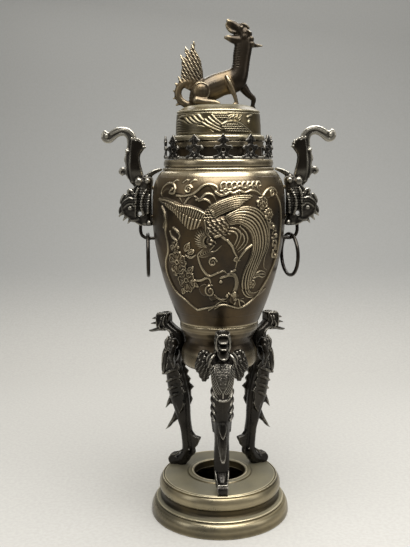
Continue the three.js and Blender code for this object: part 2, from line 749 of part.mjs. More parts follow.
// Lid: a rim ring with a spigot that drops into the neck, and the drum above it

const spigotRadius = NECK_RADIUS - WALL - 0.6;
const drumRadius = NECK_RADIUS - 2;

function lidRim() {
  return turned([
    [spigotRadius - 3, lidBase - 10],
    [spigotRadius, lidBase - 10],
    [spigotRadius, lidBase],
    [NECK_RADIUS + 1, lidBase],
    [NECK_RADIUS + 1.6, lidBase + 2],
    [NECK_RADIUS + 0.6, drumBase - GAP],
    [spigotRadius - 3, drumBase - GAP],
  ]);
}

// Round vents in the flat top, in two arcs before and behind the figure
const ventAngles = [-120, -90, -60, 60, 90, 120];
const ventRadius = 2.4;
const ventCircle = 23.5;

const lidTopLine = smoothRun([
  [drumRadius - 1.4, lidTop - 9],
  [drumRadius - 2.8, lidTop - 5.4],
  [drumRadius - 7.6, lidTop - 2.4],
  [drumRadius - 12.6, lidTop - 0.4],
], 6);

// Where the screws hold the figure's hind legs
const finialScrews = [[-14, -7.4], [-14, 7.4]];
const screwRadius = 1.4;

function lidDrum() {
  let solid = turned([
    [0, lidTop],
    [0, lidTop - 3.4],
    [drumRadius - 13, lidTop - 3.6],
    [drumRadius - 8, lidTop - 6],
    [drumRadius - 4.8, lidTop - 9],
    [drumRadius - 3.6, drumBase],
    [drumRadius, drumBase],
    [drumRadius - 0.3, drumBase + 10],
    [drumRadius - 0.9, lidTop - 14],
    ...lidTopLine,
  ]);
  for (const degrees of ventAngles) {
    const angle = THREE.MathUtils.degToRad(degrees);
    const [x, y] = [ventCircle * Math.cos(angle), ventCircle * Math.sin(angle)];
    solid = solid.subtract(bar([x, y, lidTop - 20], [x, y, lidTop + 20], ventRadius, 12));
  }
  for (const [x, y] of finialScrews) {
    solid = solid.subtract(bar([x, y, lidTop - 20], [x, y, lidTop + 20], screwRadius + GAP, 12));
  }
  return solid;
}

place('lid_rim', lidRim(), BRONZE_OLIVE);
place('lid_drum', lidDrum(), BRONZE_OLIVE);

// Finial: a crouching horned beast with its neck raised, its jaws open and a flame-like tail

// The figure is drawn from the middle of the lid's top, 83.4 mm high, and stretches with its height.
const figure = ([x, z]) => [x, lidTop + (z * FINIAL_HEIGHT) / 83.4];

function beastBody() {
  const section = (low, high, w, y = 0) => [...figure(low), ...figure(high), w, y];
  const trunk = limb([
    section([-28.4, 3], [-29.2, 11], 4),
    section([-24, 0], [-25.4, 19], 7.6),
    section([-14, 1], [-17, 25], 9.6),
    section([-3, 5], [-4.5, 30], 9.8),
    section([8, 11], [6.5, 34], 9.2),
    section([18, 14], [14.6, 37], 9),
    section([29, 20], [15, 44], 8),
    section([32, 36], [15.3, 48], 7.2),
    section([33.6, 46], [16.4, 54], 6.8),
    section([35, 54], [17, 58], 6.6),
    section([36, 62], [18, 64], 6),
  ], 12);
  const foreleg = (foot, y) => limb([
    section([14, 22], [28, 22], 5, y * 0.7),
    section([foot - 3.4, 9], [foot + 3.4, 11], 3.6, y),
    section([foot - 3, 3], [foot + 3, 3], 3.2, y),
    section([foot - 4.4, -3.4], [foot + 3.4, -3.4], 3.8, y),
  ], 10);
  const hindLeg = (y) => limb([
    section([-27, 2], [-20, 17], 4, y),
    section([-18, -1], [-9, 16], 5, y),
    section([-10, -1], [-3, 8], 4.2, y),
    section([1, -1], [1, 4.6], 3.4, y),
  ], 10);
  const farFoot = limb([
    section([16, 20], [29, 22], 5, -4),
    section([25, 12], [32, 17], 3.6, -8),
    section([31, 4], [38, 8], 3.4, -9.6),
    section([33.6, -6], [40, -6], 3.8, -9.6),
  ], 10);
  return joined(trunk, foreleg(19, 5), farFoot, hindLeg(7.4), hindLeg(-7.4));
}

function beastHead() {
  const skull = plate([
    [15, 59.6], [10.5, 63.6], [6.4, 66], [9, 69.2], [15.6, 69.6], [11.8, 72], [8.4, 76.2], [8.4, 83.4],
    [13.8, 82.4], [21.5, 77.8], [29.5, 76.4], [32.6, 68], [38.8, 61], [45.4, 56.9], [34.6, 53.8], [17, 54.6],
  ].map(figure), 10, 1.8);
  const point = (x, y, z) => [x, y, figure([x, z])[1]];
  const horn = (y) => spike(point(26, y, 72), point(33, y * 1.2, 76), point(38, y * 1.5, 74), 3);
  return joined(skull, horn(3.5), horn(-3.5));
}

function beastTail() {
  return plate([
    [-26, 4], [-30, 0.6], [-36.8, 4.8], [-42.6, 14.4], [-40.8, 20], [-35.8, 26], [-32.2, 30.8], [-34.4, 39.6],
    [-31.6, 37.4], [-37.2, 49.8], [-32.4, 47], [-29.6, 43.4], [-33, 57.4], [-29.6, 52.4], [-24.4, 63.4],
    [-23.4, 54.4], [-25, 52.4], [-19, 42], [-17.2, 33], [-17, 22], [-22, 14],
  ].map(figure), 6, 1);
}

function finial() {
  const lidKeepOut = turned([
    [0, lidTop - 20],
    [drumRadius + GAP, lidTop - 20],
    ...lidTopLine.map(([r, z]) => [r, z + GAP]),
    [0, lidTop + GAP],
  ]);
  const [holeX, holeZ] = figure([-32.8, 11.4]);
  const tailRing = bar([holeX, -20, holeZ], [holeX, 20, holeZ], 3.9, 12);
  const screwHoles = finialScrews.map(([x, y]) => (
    bar([x, y, lidTop - 5], [x, y, lidTop + 7.4], screwRadius + GAP, 12)
  ));
  return joined(beastBody(), beastHead(), beastTail())
    .simplify(MODELLED)
    .subtract(lidKeepOut)
    .subtract(joined(tailRing, ...screwHoles));
}

// A cheese-headed screw up through the lid into a hind leg
function finialScrew([x, y]) {
  const seat = lidTop - 3.4 - GAP;
  return turned([
    [0, seat - 2.4],
    [3, seat - 2.4],
    [3, seat - 0.2],
    [screwRadius, seat - 0.2],
    [screwRadius, lidTop + 6.8],
    [0, lidTop + 6.8],
  ], 12).translate([x, y, 0]);
}

place('finial_beast', finial(), BRONZE_BROWN);
finialScrews.forEach((spot, k) => place(`finial_screw_${k + 1}`, finialScrew(spot), FASTENER));

// The front leg's beak reaches further forward than the plinth does
object.position.y = (out(...beakTip) - PLINTH_RADIUS) / 2;

export default object;
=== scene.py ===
# %% [markdown]
# # A tripod incense burner in patinated bronze
#
# This notebook dresses a finished CAD model. The CAD model gives every casting its place and size, and
# what follows gives each one its modelled surface: relief, scales, feathers, and a worn brown patina.
# Everything is built in code, so each cell can be read, changed and run again.

# %% Load the frame
import json
import math

import bpy
import numpy as np
from mathutils import Matrix, Vector


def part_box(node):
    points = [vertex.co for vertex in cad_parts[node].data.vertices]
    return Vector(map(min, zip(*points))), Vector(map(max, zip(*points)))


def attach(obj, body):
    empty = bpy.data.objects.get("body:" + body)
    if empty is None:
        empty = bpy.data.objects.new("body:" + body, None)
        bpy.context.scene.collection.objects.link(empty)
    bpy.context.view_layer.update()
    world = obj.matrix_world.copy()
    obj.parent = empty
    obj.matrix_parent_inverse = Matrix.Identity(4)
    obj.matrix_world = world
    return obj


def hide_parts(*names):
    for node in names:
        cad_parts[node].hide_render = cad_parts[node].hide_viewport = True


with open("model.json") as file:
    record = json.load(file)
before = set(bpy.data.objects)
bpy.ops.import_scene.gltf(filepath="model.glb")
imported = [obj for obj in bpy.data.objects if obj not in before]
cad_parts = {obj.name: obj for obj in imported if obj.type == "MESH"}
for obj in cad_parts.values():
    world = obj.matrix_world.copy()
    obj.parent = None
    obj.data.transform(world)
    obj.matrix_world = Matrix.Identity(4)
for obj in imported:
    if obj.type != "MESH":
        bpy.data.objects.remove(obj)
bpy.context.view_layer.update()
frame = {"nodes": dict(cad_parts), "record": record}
MM = 0.001

# %% [markdown]
# ## Where things are
#
# The vessel is a stack of turned castings on one upright axis. All drawing below is in millimetres about
# that axis: x to the right, y to the back, z up. The axis itself is read from the plinth's box, because
# the CAD model's origin is the middle of its bounding box, and the beaks of the legs push that forward.

# %% Find the axis
plinth_low, plinth_high = (Vector(corner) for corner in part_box("base_plinth"))
AXIS_Y = (plinth_low.y + plinth_high.y) / 2
print(f"axis at y = {AXIS_Y / MM:.2f} mm")


# %% Put things in the scene
def placed(name, data):
    """A new object in the scene that holds a camera, a lamp, a curve or a mesh."""
    thing = bpy.data.objects.new(name, data)
    bpy.context.scene.collection.objects.link(thing)
    return thing


def mesh_of(name, places, faces):
    """A mesh from points in metres and faces."""
    mesh = bpy.data.meshes.new(name)
    mesh.from_pydata(places, [], faces.tolist() if isinstance(faces, np.ndarray) else faces)
    return mesh


# %% [markdown]
# ## The camera
#
# The photograph was taken from a little above the collar, three quarters of a metre away. Its lens was
# worked out from how flat each turned edge looks: the plinth's edges open wide, the collar's hardly.

# %% Camera
CAMERA_DISTANCE = 0.775
CAMERA_HEIGHT = 0.3775
CAMERA_PITCH = math.radians(8.5)
CAMERA_YAW = math.radians(-1.084)
CAMERA_ROLL = math.radians(-0.394)
LONG_SIDE = 547
FOCAL_PIXELS = 740
SENSOR = 36.0

forward = Vector((
    math.sin(CAMERA_YAW) * math.cos(CAMERA_PITCH),
    math.cos(CAMERA_YAW) * math.cos(CAMERA_PITCH),
    -math.sin(CAMERA_PITCH),
))
level = Vector((math.cos(CAMERA_YAW), -math.sin(CAMERA_YAW), 0))
upright = level.cross(forward)
right = level * math.cos(CAMERA_ROLL) + upright * math.sin(CAMERA_ROLL)
top = upright * math.cos(CAMERA_ROLL) - level * math.sin(CAMERA_ROLL)

camera = placed("camera", bpy.data.cameras.new("camera"))
camera.data.sensor_width = SENSOR
camera.data.lens = SENSOR * FOCAL_PIXELS / LONG_SIDE
aim = Matrix((right, top, -forward)).transposed().to_4x4()
camera.matrix_world = Matrix.Translation((0, AXIS_Y - CAMERA_DISTANCE, CAMERA_HEIGHT)) @ aim
bpy.context.scene.camera = camera
bpy.context.scene.view_settings.view_transform = "Standard"
print(f"lens {camera.data.lens:.1f} mm")

# %% [markdown]
# ## Light and background
#
# Dark bronze shows what it reflects more than what falls on it. So the room is a soft grey, and wide
# lamps draw the highlights: one overhead for the shoulders and rims, one each side for the long edges.

# %% Lamps and world
def area_lamp(name, place, size, watts, tint):
    """A soft rectangular lamp that looks at the middle of the burner."""
    lamp = bpy.data.lights.new(name, "AREA")
    lamp.shape = "RECTANGLE"
    lamp.size, lamp.size_y = size
    lamp.energy = watts
    lamp.color = tint
    holder = placed(name, lamp)
    holder.location = place
    look = Vector(MIDDLE) - Vector(place)
    holder.rotation_euler = look.to_track_quat("-Z", "Y").to_euler()


MIDDLE = (0, AXIS_Y, 0.28)
WARM_LIGHT, COOL_LIGHT = (1.0, 0.99, 0.97), (0.98, 0.99, 1.0)
area_lamp("overhead", (0.12, -0.35, 1.3), (1.2, 1.0), 44, WARM_LIGHT)
area_lamp("behind", (0.1, 0.75, 1.05), (1.3, 0.5), 8, WARM_LIGHT)
area_lamp("left_window", (-1.2, -0.7, 0.75), (0.5, 0.9), 3, COOL_LIGHT)
area_lamp("right_window", (1.25, -0.5, 0.8), (0.5, 0.9), 3, WARM_LIGHT)

world = bpy.data.worlds.new("room")
bpy.context.scene.world = world
world.use_nodes = True
background = world.node_tree.nodes["Background"]
background.inputs["Color"].default_value = (0.62, 0.62, 0.6, 1)
background.inputs["Strength"].default_value = 0.2

# %% [markdown]
# ## Node trees that read like maths
#
# A procedural material is a formula. The small class Value wraps a node's output so that `a * 0.5 + b`
# adds the Math nodes by itself, and `Nodes.node` makes every other kind of node. Shade is a material made
# that way. Further down, Pattern is a Geometry Nodes tree made the same way.

# %% Sockets that can be added and multiplied
class Value:
    """A number that varies from place to place: one node output, with the usual operators."""

    def __init__(self, nodes, socket):
        self.nodes, self.socket = nodes, socket

    def math(self, operation, *operands):
        return self.nodes.node("ShaderNodeMath", {"operation": operation}, dict(enumerate(operands)))

    def __add__(self, other):
        return self.math("ADD", self, other)

    def __sub__(self, other):
        return self.math("SUBTRACT", self, other)

    def __rsub__(self, other):
        return self.math("SUBTRACT", other, self)

    def __mul__(self, other):
        return self.math("MULTIPLY", self, other)

    __radd__, __rmul__ = __add__, __mul__

    def spread(self, low, high):
        """0 below low, 1 above high, and smooth between them."""
        settings = {"interpolation_type": "SMOOTHSTEP"}
        return self.nodes.node("ShaderNodeMapRange", settings, {0: self, 1: low, 2: high})


class Nodes:
    """A node tree, and a short way to add to it."""

    def __init__(self, tree):
        self.tree = tree

    def feed(self, socket, value):
        if isinstance(value, Value):
            self.tree.links.new(value.socket, socket)
        else:
            socket.default_value = value

    def node(self, kind, settings=None, inputs=None, output=0):
        made = self.tree.nodes.new(kind)
        for key, setting in (settings or {}).items():
            setattr(made, key, setting)
        for key, value in (inputs or {}).items():
            self.feed(made.inputs[key], value)
        return Value(self, made.outputs[output])


class Shade(Nodes):
    """One material."""

    def __init__(self, name):
        self.material = bpy.data.materials.new(name)
        self.material.use_nodes = True
        super().__init__(self.material.node_tree)
        self.surface = self.tree.nodes["Principled BSDF"]
        self.place = self.node("ShaderNodeTexCoord", output="Object")

    def noise(self, size, detail=3.0, roughness=0.55):
        """Noise whose spots are about size metres across, from 0 to 1."""
        inputs = {"Vector": self.place, "Scale": 1 / size, "Detail": detail, "Roughness": roughness}
        return self.node("ShaderNodeTexNoise", None, inputs)

    def mix(self, factor, first, second):
        """A colour between two colours."""
        return self.node("ShaderNodeMix", {"data_type": "RGBA"}, {0: factor, 6: first, 7: second}, output=2)

    def finish(self, **sockets):
        for name, value in sockets.items():
            self.feed(self.surface.inputs[name.replace("_", " ")], value)
        return self.material


# %% [markdown]
# ## Bronze
#
# Old bronze isn't one colour. The ground is a brown-black patina with warmer and greener clouds in it.
# Where hands and cloths have rubbed, on every raised edge, the metal shows lighter and smoother. In the
# hollows old wax has gone dark and dull. What faces up is paler, partly from a little pale dust and partly
# from a painted sheen that stands for the overhead light. Each mesh below carries two attributes: `wear`,
# from -1 in its hollows to 1 on its ridges, so that one material finds the edges of every casting, and the
# stain attribute, where soot or shelter has kept a part dark, and where painted shade darkens a cove, the
# cup and the foot of the vase. The vase's shoulder also gets a painted highlight through its wear.

# %% The patina
def rgb(red, green, blue):
    return (red, green, blue, 1)


def darker(colour, share):
    return (*(share * part for part in colour[:3]), 1)


STAIN_AND_SHADE = rgb(0.016, 0.012, 0.008)
DUST_AND_SHEEN = rgb(0.16, 0.148, 0.1)
CLOUD_SIZE, SPECK_SIZE, GRAIN_SIZE = 0.045, 0.0035, 0.012
METAL = 0.8


def bronze(name, deep, warm, worn, gloss, dust_and_sheen=0.0):
    """A patina from a deep ground, a warmer cloud colour and the worn metal of the edges."""
    shade = Shade(name)
    wear, stain = (shade.node("ShaderNodeAttribute", {"attribute_name": mark}, output="Fac")
                   for mark in ("wear", "stain"))
    cloud = shade.noise(CLOUD_SIZE, 4).spread(0.35, 0.68)
    speck = shade.noise(SPECK_SIZE, 5, 0.65)
    # rubbed edges show the lighter worn metal; on the vase's shoulder the same colour is a painted highlight
    rubbed = wear.spread(0.12, 0.9) * (0.6 + 0.4 * cloud)
    hollow = (0 - wear).spread(0.1, 0.85)
    facing = shade.node("ShaderNodeNewGeometry", output="Normal")
    upward = shade.node("ShaderNodeSeparateXYZ", None, {0: facing}, output=2)
    # what faces up is paler: a little dust, and a painted sheen that stands for the overhead light
    dust_and_sheen_share = upward.spread(0.8, 1.0) * dust_and_sheen
    ground = shade.mix(cloud, deep, warm)
    for share, colour in (
        # dark stain from soot and shelter, and painted shade in the plinth's cove, on the cup and at the
        # vase's foot
        (stain * 0.65, STAIN_AND_SHADE),
        (speck.spread(0.45, 0.8) * 0.35, darker(deep, 0.7)),
        (hollow * 0.85, darker(deep, 0.4)),
        (dust_and_sheen_share * (0.7 + 0.3 * cloud), DUST_AND_SHEEN),
        (rubbed * 0.85, worn),
    ):
        ground = shade.mix(share, ground, colour)
    dull = gloss + 0.08 * cloud + 0.12 * speck + 0.2 * hollow + 0.2 * dust_and_sheen_share - 0.08 * rubbed
    grain = speck + 2.0 * shade.noise(GRAIN_SIZE, 3)
    bump = shade.node("ShaderNodeBump", None, {"Strength": 0.22, "Distance": 0.0003, "Height": grain})
    return shade.finish(Base_Color=ground, Roughness=dull, Metallic=METAL - 0.4 * dust_and_sheen_share, Normal=bump)


LOOKS = {
    "brown_bronze": (rgb(0.042, 0.033, 0.023), rgb(0.12, 0.081, 0.038), rgb(0.46, 0.39, 0.26), 0.22, 0.45),
    "olive_bronze": (rgb(0.05, 0.042, 0.026), rgb(0.145, 0.108, 0.046), rgb(0.5, 0.44, 0.3), 0.24, 0.8),
    "dark_bronze": (rgb(0.015, 0.0135, 0.0115), rgb(0.036, 0.031, 0.024), rgb(0.46, 0.43, 0.36), 0.17),
    "fastener_bronze": (rgb(0.09, 0.07, 0.045), rgb(0.18, 0.14, 0.085), rgb(0.4, 0.33, 0.2), 0.35),
}
BRONZE = {name: bronze(name, *look) for name, look in LOOKS.items()}

slot_of = {entry["node"]: entry["material_slot"] for entry in frame["record"]["subparts"]}
for node, thing in frame["nodes"].items():
    thing.data.materials.clear()
    thing.data.materials.append(BRONZE[slot_of[node]])
print("finishes:", ", ".join(BRONZE))

# %% [markdown]
# ## From points to a casting
#
# Every casting below ends the same way: its points and faces become a mesh, the mesh gets its wear
# attribute, and the piece takes the place of its CAD node. Wear is measured from the shape. The points
# are averaged with their neighbours a few times, and a point that stands above that softened surface is
# on a ridge.

# %% Cast a piece
WEAR_SOFTEN = 0.6  # how far each pass draws a point towards its neighbours


def points_and_normals(mesh):
    found = []
    for items, field in ((mesh.vertices, "co"), (mesh.vertex_normals, "vector")):
        values = np.empty(3 * len(mesh.vertices))
        items.foreach_get(field, values)
        found.append(values.reshape(-1, 3))
    return found


def mark_wear(mesh, passes, reach, calm=1, rubbed=0, stain=0):
    """Store how far each point stands out from its softened surroundings; reach is 1, in millimetres.

    Where calm is 0 no wear is left. The rubbed marks, which include a painted highlight, are added to the
    wear, and the stain marks, which include painted shade, are stored as they are.
    """
    points, normals = points_and_normals(mesh)
    points = points / MM
    count = len(points)
    edges = np.empty(2 * len(mesh.edges), int)
    mesh.edges.foreach_get("vertices", edges)
    a, b = edges.reshape(-1, 2).T
    share = 1 / (np.bincount(a, minlength=count) + np.bincount(b, minlength=count))
    soft = points.copy()
    for _ in range(passes):
        for axis in range(3):
            line = soft[:, axis]
            around = np.bincount(a, line[b], count) + np.bincount(b, line[a], count)
            soft[:, axis] = (1 - WEAR_SOFTEN) * line + WEAR_SOFTEN * around * share
    height = ((points - soft) * normals).sum(axis=1)
    wear = np.clip(height / reach, -1, 1) * calm + rubbed
    for name, values in (("wear", wear), ("stain", np.zeros(count) + stain)):
        mesh.attributes.new(name, "FLOAT", "POINT").data.foreach_set("value", values)


def outward(points, faces):
    """The faces, turned over if they enclose a negative volume."""
    a, b, c = (points[faces[:, k]] for k in range(3))
    volume = np.einsum("ij,ij->i", a, np.cross(b, c)).sum()
    if faces.shape[1] == 4:
        d = points[faces[:, 3]]
        volume += np.einsum("ij,ij->i", a, np.cross(c, d)).sum()
    return faces if volume > 0 else faces[:, ::-1]


def cast(name, points, faces, body, nodes, slot=None, passes=6, reach=0.2, **marks):
    """Make one finished piece from millimetre points about the axis, in place of its CAD nodes."""
    slot = slot or slot_of[nodes[0]]
    mesh = mesh_of(name, np.asarray(points) * MM + (0, AXIS_Y, 0), faces)
    mesh.shade_smooth()
    mark_wear(mesh, passes, reach, **marks)
    mesh.materials.append(BRONZE[slot])
    piece = placed(name, mesh)
    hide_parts(*nodes)
    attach(piece, body)
    print(f"{name}: {sum(len(p.vertices) - 2 for p in mesh.polygons)} triangles")
    return piece


# %% [markdown]
# ## Helpers that Blender works on
#
# Some shapes need one of Blender's modifiers: a cut, a fusing of lumps, or a pattern made by Geometry
# Nodes. Such a shape goes into a helper object, and its result is read back as points and faces.

# %% Helpers
def taken(helper, *others):
    """Points in millimetres, normals and faces of a helper after its modifiers; the helpers go."""
    mesh = bpy.data.meshes.new_from_object(helper.evaluated_get(bpy.context.evaluated_depsgraph_get()))
    points, normals = points_and_normals(mesh)
    faces = [list(face.vertices) for face in mesh.polygons]
    for spent in (helper, *others):
        bpy.data.objects.remove(spent)
    bpy.data.meshes.remove(mesh)
    return points / MM, normals, faces


def joined(shapes):
    """Points and faces of several shapes as one."""
    points, faces, count = [], [], 0
    for more_points, more_faces in shapes:
        faces += [[count + int(k) for k in face] for face in more_faces]
        points.append(more_points)
        count += len(more_points)
    return np.vstack(points), faces


def helper_of(name, shapes):
    """A helper object from several shapes in millimetres."""
    points, faces = joined(shapes)
    return placed(name, mesh_of(name, points * MM, faces))


# %% Grids and prisms
def round_steps(count):
    """Angles at equal steps once round a circle."""
    return np.linspace(0, 2 * math.pi, count, endpoint=False)


def quads(grid):
    """The four-sided faces between neighbours on a grid of point numbers."""
    return np.stack([grid[:-1, :-1], grid[:-1, 1:], grid[1:, 1:], grid[1:, :-1]], axis=2).reshape(-1, 4)


def tube_quads(rows, columns, closed=True):
    """The faces of a tube of rings; closed joins the last ring to the first."""
    grid = np.arange(rows * columns).reshape(rows, columns)
    return quads(np.pad(grid, ((0, int(closed)), (0, 1)), "wrap"))


def prism(low, high):
    """Points and faces between two outlines of equally many points."""
    count = len(low)
    side = [[k, (k + 1) % count, count + (k + 1) % count, count + k] for k in range(count)]
    return np.vstack([low, high]), [*side, list(range(count))[::-1], list(range(count, 2 * count))]


# %% [markdown]
# ## Curves through a few points
#
# A form is easier to read and to change as a handful of points than as hundreds. A centripetal
# Catmull-Rom curve goes through every one of them and doesn't loop where they lie unevenly.

# %% Smooth curves
def smooth(points, steps=6, closed=False):
    """A curve through the points, with a number of straight steps from each to the next."""
    points = np.asarray(points, float)
    if closed:
        padded = np.vstack([points[-1], points, points[:2]])
    else:
        padded = np.vstack([2 * points[0] - points[1], points, 2 * points[-1] - points[-2]])
    pieces = []
    for a, b, c, d in zip(padded, padded[1:], padded[2:], padded[3:]):
        gaps = [max(np.linalg.norm(q - p), 1e-6) ** 0.5 for p, q in ((a, b), (b, c), (c, d))]
        k = np.cumsum([0, *gaps])
        t = np.linspace(k[1], k[2], steps, endpoint=False)[:, None]

        def between(p, q, low, high):
            return ((high - t) * p + (t - low) * q) / (high - low)

        ab, bc, cd = between(a, b, k[0], k[1]), between(b, c, k[1], k[2]), between(c, d, k[2], k[3])
        pieces.append(between(between(ab, bc, k[0], k[2]), between(bc, cd, k[1], k[3]), k[1], k[2]))
    return np.vstack(pieces if closed else [*pieces, points[-1:]])


def evenly(curve, count):
    """Count points at even distances along a curve."""
    curve = np.asarray(curve, float)
    reach = np.insert(np.cumsum(np.linalg.norm(np.diff(curve, axis=0), axis=1)), 0, 0)
    stops = np.linspace(0, reach[-1], count)
    return np.stack([np.interp(stops, reach, line) for line in curve.T], axis=1)


def ramp(value, low, high):
    """0 below low, 1 above high, smooth between."""
    share = np.clip((value - low) / (high - low), 0, 1)
    return share * share * (3 - 2 * share)


# %% [markdown]
# ## Turned castings
#
# The plinth, cup, collar and lid were finished on a lathe. So each is one line of radius and height, spun
# round the axis. The line is given in runs, some straight and some curved, and each run starts where the
# last one ended. The corners between runs are eased a little, because a lathe never leaves a
# mathematically sharp edge, and an eased edge is what catches the light.

# %% Lathe
def moulding(*runs, pitch=1.0, ease=0.35):
    """A closed line of [radius, height] points from runs that follow on each other.

    A run that is one point is a straight line to it, and a list of points is a curve.
    """
    runs = [[run] if isinstance(run, tuple) else run for run in runs]
    starts = [runs[k - 1][-1] for k in range(len(runs))]
    curves = []
    for start, run in zip(starts, runs):
        curve = smooth([start, *run], 12) if len(run) > 1 else np.array([start, *run], float)
        length = np.linalg.norm(np.diff(curve, axis=0), axis=1).sum()
        count = max(3, math.ceil(length / pitch) + 1)
        fine = evenly(curve, 40 * count)
        inset = int(40 * count * min(ease / length, 0.33))
        curves.append(evenly(fine[inset:len(fine) - inset], count))
    line = []
    for curve, following in zip(curves, curves[1:] + curves[:1]):
        corner = 0.5 * (curve[-1] + following[0])
        line += [curve, [corner]]
    return np.vstack(line)


def turned(line, columns=192):
    """Points and faces of a closed line spun about the axis."""
    angles = round_steps(columns)
    radius, height = line[:, :1], line[:, 1:]
    points = np.stack([
        radius * np.sin(angles), -radius * np.cos(angles), np.repeat(height, columns, axis=1),
    ], axis=2).reshape(-1, 3)
    return points, outward(points, tube_quads(len(line), columns))


# %% [markdown]
# ### Plinth, cup, collar and lid rim
#
# Their lines follow the photograph: the plinth has a foot band, a groove, a cove and a fat bead under a
# flat top, and a stepped rim round its hole.

# %% Plinth
plinth_line = moulding(
    (75, 0),
    [(74.9, 3), (74.3, 7.6), (72.7, 11.5), (70.9, 13.6)],
    (69, 14.4),
    (69, 15.2),
    [(69.9, 15.8), (69.2, 16.4), (67.6, 16.8)],
    [(64.6, 17.8), (62.9, 20.2), (62.7, 23)],
    (62.9, 24.6),
    [(65.2, 26.8), (66.2, 30.6), (65.6, 34.6), (63.9, 37.8), (62.6, 39)],
    [(62.8, 39.6), (62.2, 40.3), (61.5, 40.2)],
    (61.1, 39.3),
    (60.4, 40.5),
    (35.2, 41.9),
    (34.2, 43.2),
    (31, 43.4),
    [(30.2, 44), (28, 43.4)],
    (28, 35.4),
    (57, 35.4),
    [(58.2, 22), (66, 12), (70, 0)],
)
points, faces = turned(plinth_line)
# painted shadow in the cove, and the lowest few millimetres of the plinth are darker too
painted_cove_shadow = ramp(points[:, 2], 16.5, 18.5) * ramp(27 - points[:, 2], 0, 2)
cast("plinth", points, faces, "vessel", ["base_plinth"], reach=0.25,
     stain=0.8 * painted_cove_shadow + 0.4 * ramp(9 - points[:, 2], 0, 6))

# %% Cup
cup_line = moulding(
    (4.4, 163),
    (31, 163),
    [(36, 164.2), (39.2, 167.4), (40.5, 172.6), (39.9, 180), (37, 186.6), (35.4, 191), (36.2, 195.4),
     (38.8, 200), (41.2, 204.6)],
    [(41.7, 207.6), (41.5, 211)],
    (37.2, 211),
    [(31.5, 199), (29.6, 194), (33, 186), (35.4, 170), (31.6, 167)],
    (4.4, 167),
)
points, faces = turned(cup_line, 144)
# the whole cup is painted darker, as the shade under the vase's belly
cast("cup", points, faces, "vessel", ["lower_cup"], reach=0.25, stain=0.6)

# %% Collar and neck
collar_line = moulding(
    (42.3, 362),
    (50, 362),
    (50, 369.9),
    (57.2, 370),
    [(57.7, 371.2), (57.2, 372.5)],
    (55.2, 373.1),
    [(56.2, 374.6), (56.5, 377), (56.1, 379.6), (55, 381)],
    (46.8, 381.1),
    [(45.6, 382.6), (45.1, 388), (45.2, 392.6)],
    [(46.2, 393.2), (46.5, 396), (46, 398.6)],
    (45.4, 399),
    (45.6, 400.6),
    (42.3, 400.6),
    pitch=0.8,
)
cast("collar", *turned(collar_line), "vessel", ["neck_collar"], reach=0.2)

# %% Lid rim
lid_rim_line = moulding(
    (38.8, 391),
    (41.7, 391),
    (41.7, 400.9),
    (46.0, 400.9),
    (46.2, 399.7),
    [(47.0, 399.4), (47.5, 400.2), (47.5, 402.8), (46.6, 404.2), (44.6, 404.9)],
    (38.8, 404.9),
    pitch=0.6,
)
cast("lid_flange", *turned(lid_rim_line), "lid", ["lid_rim"], reach=0.2)

# %% [markdown]
# ## Drawing in relief
#
# The vase and the lid carry drawings in low relief. A relief is only a height over a flat sheet, so it can
# be drawn like a picture: on a grid of heights, with raised lines, mounds and hollows. Lines that cross
# are merged by taking the higher one, and lines lie on top of mounds because the two are kept apart and
# added at the end. Then the sheet is wrapped round the pot.

# %% A sheet of heights
def distance_to(path, across, up):
    """Distance of each grid point to a path, and how far along the path its nearest point is."""
    start, step = path[:-1], np.diff(path, axis=0)
    length = np.maximum((step ** 2).sum(axis=1), 1e-12)
    gap = np.stack([across, up], axis=-1)[..., None, :] - start
    along = np.clip((gap * step).sum(axis=-1) / length, 0, 1)
    away = np.linalg.norm(gap - along[..., None] * step, axis=-1)
    nearest = away.argmin(axis=-1)
    pick = np.expand_dims(nearest, -1)
    share = np.take_along_axis(along, pick, -1)[..., 0]
    return np.take_along_axis(away, pick, -1)[..., 0], (nearest + share) / len(step)


LINE_BOLDNESS, LINE_RISE = 1.15, 1.3  # every drawn line is this much wider and higher than it says


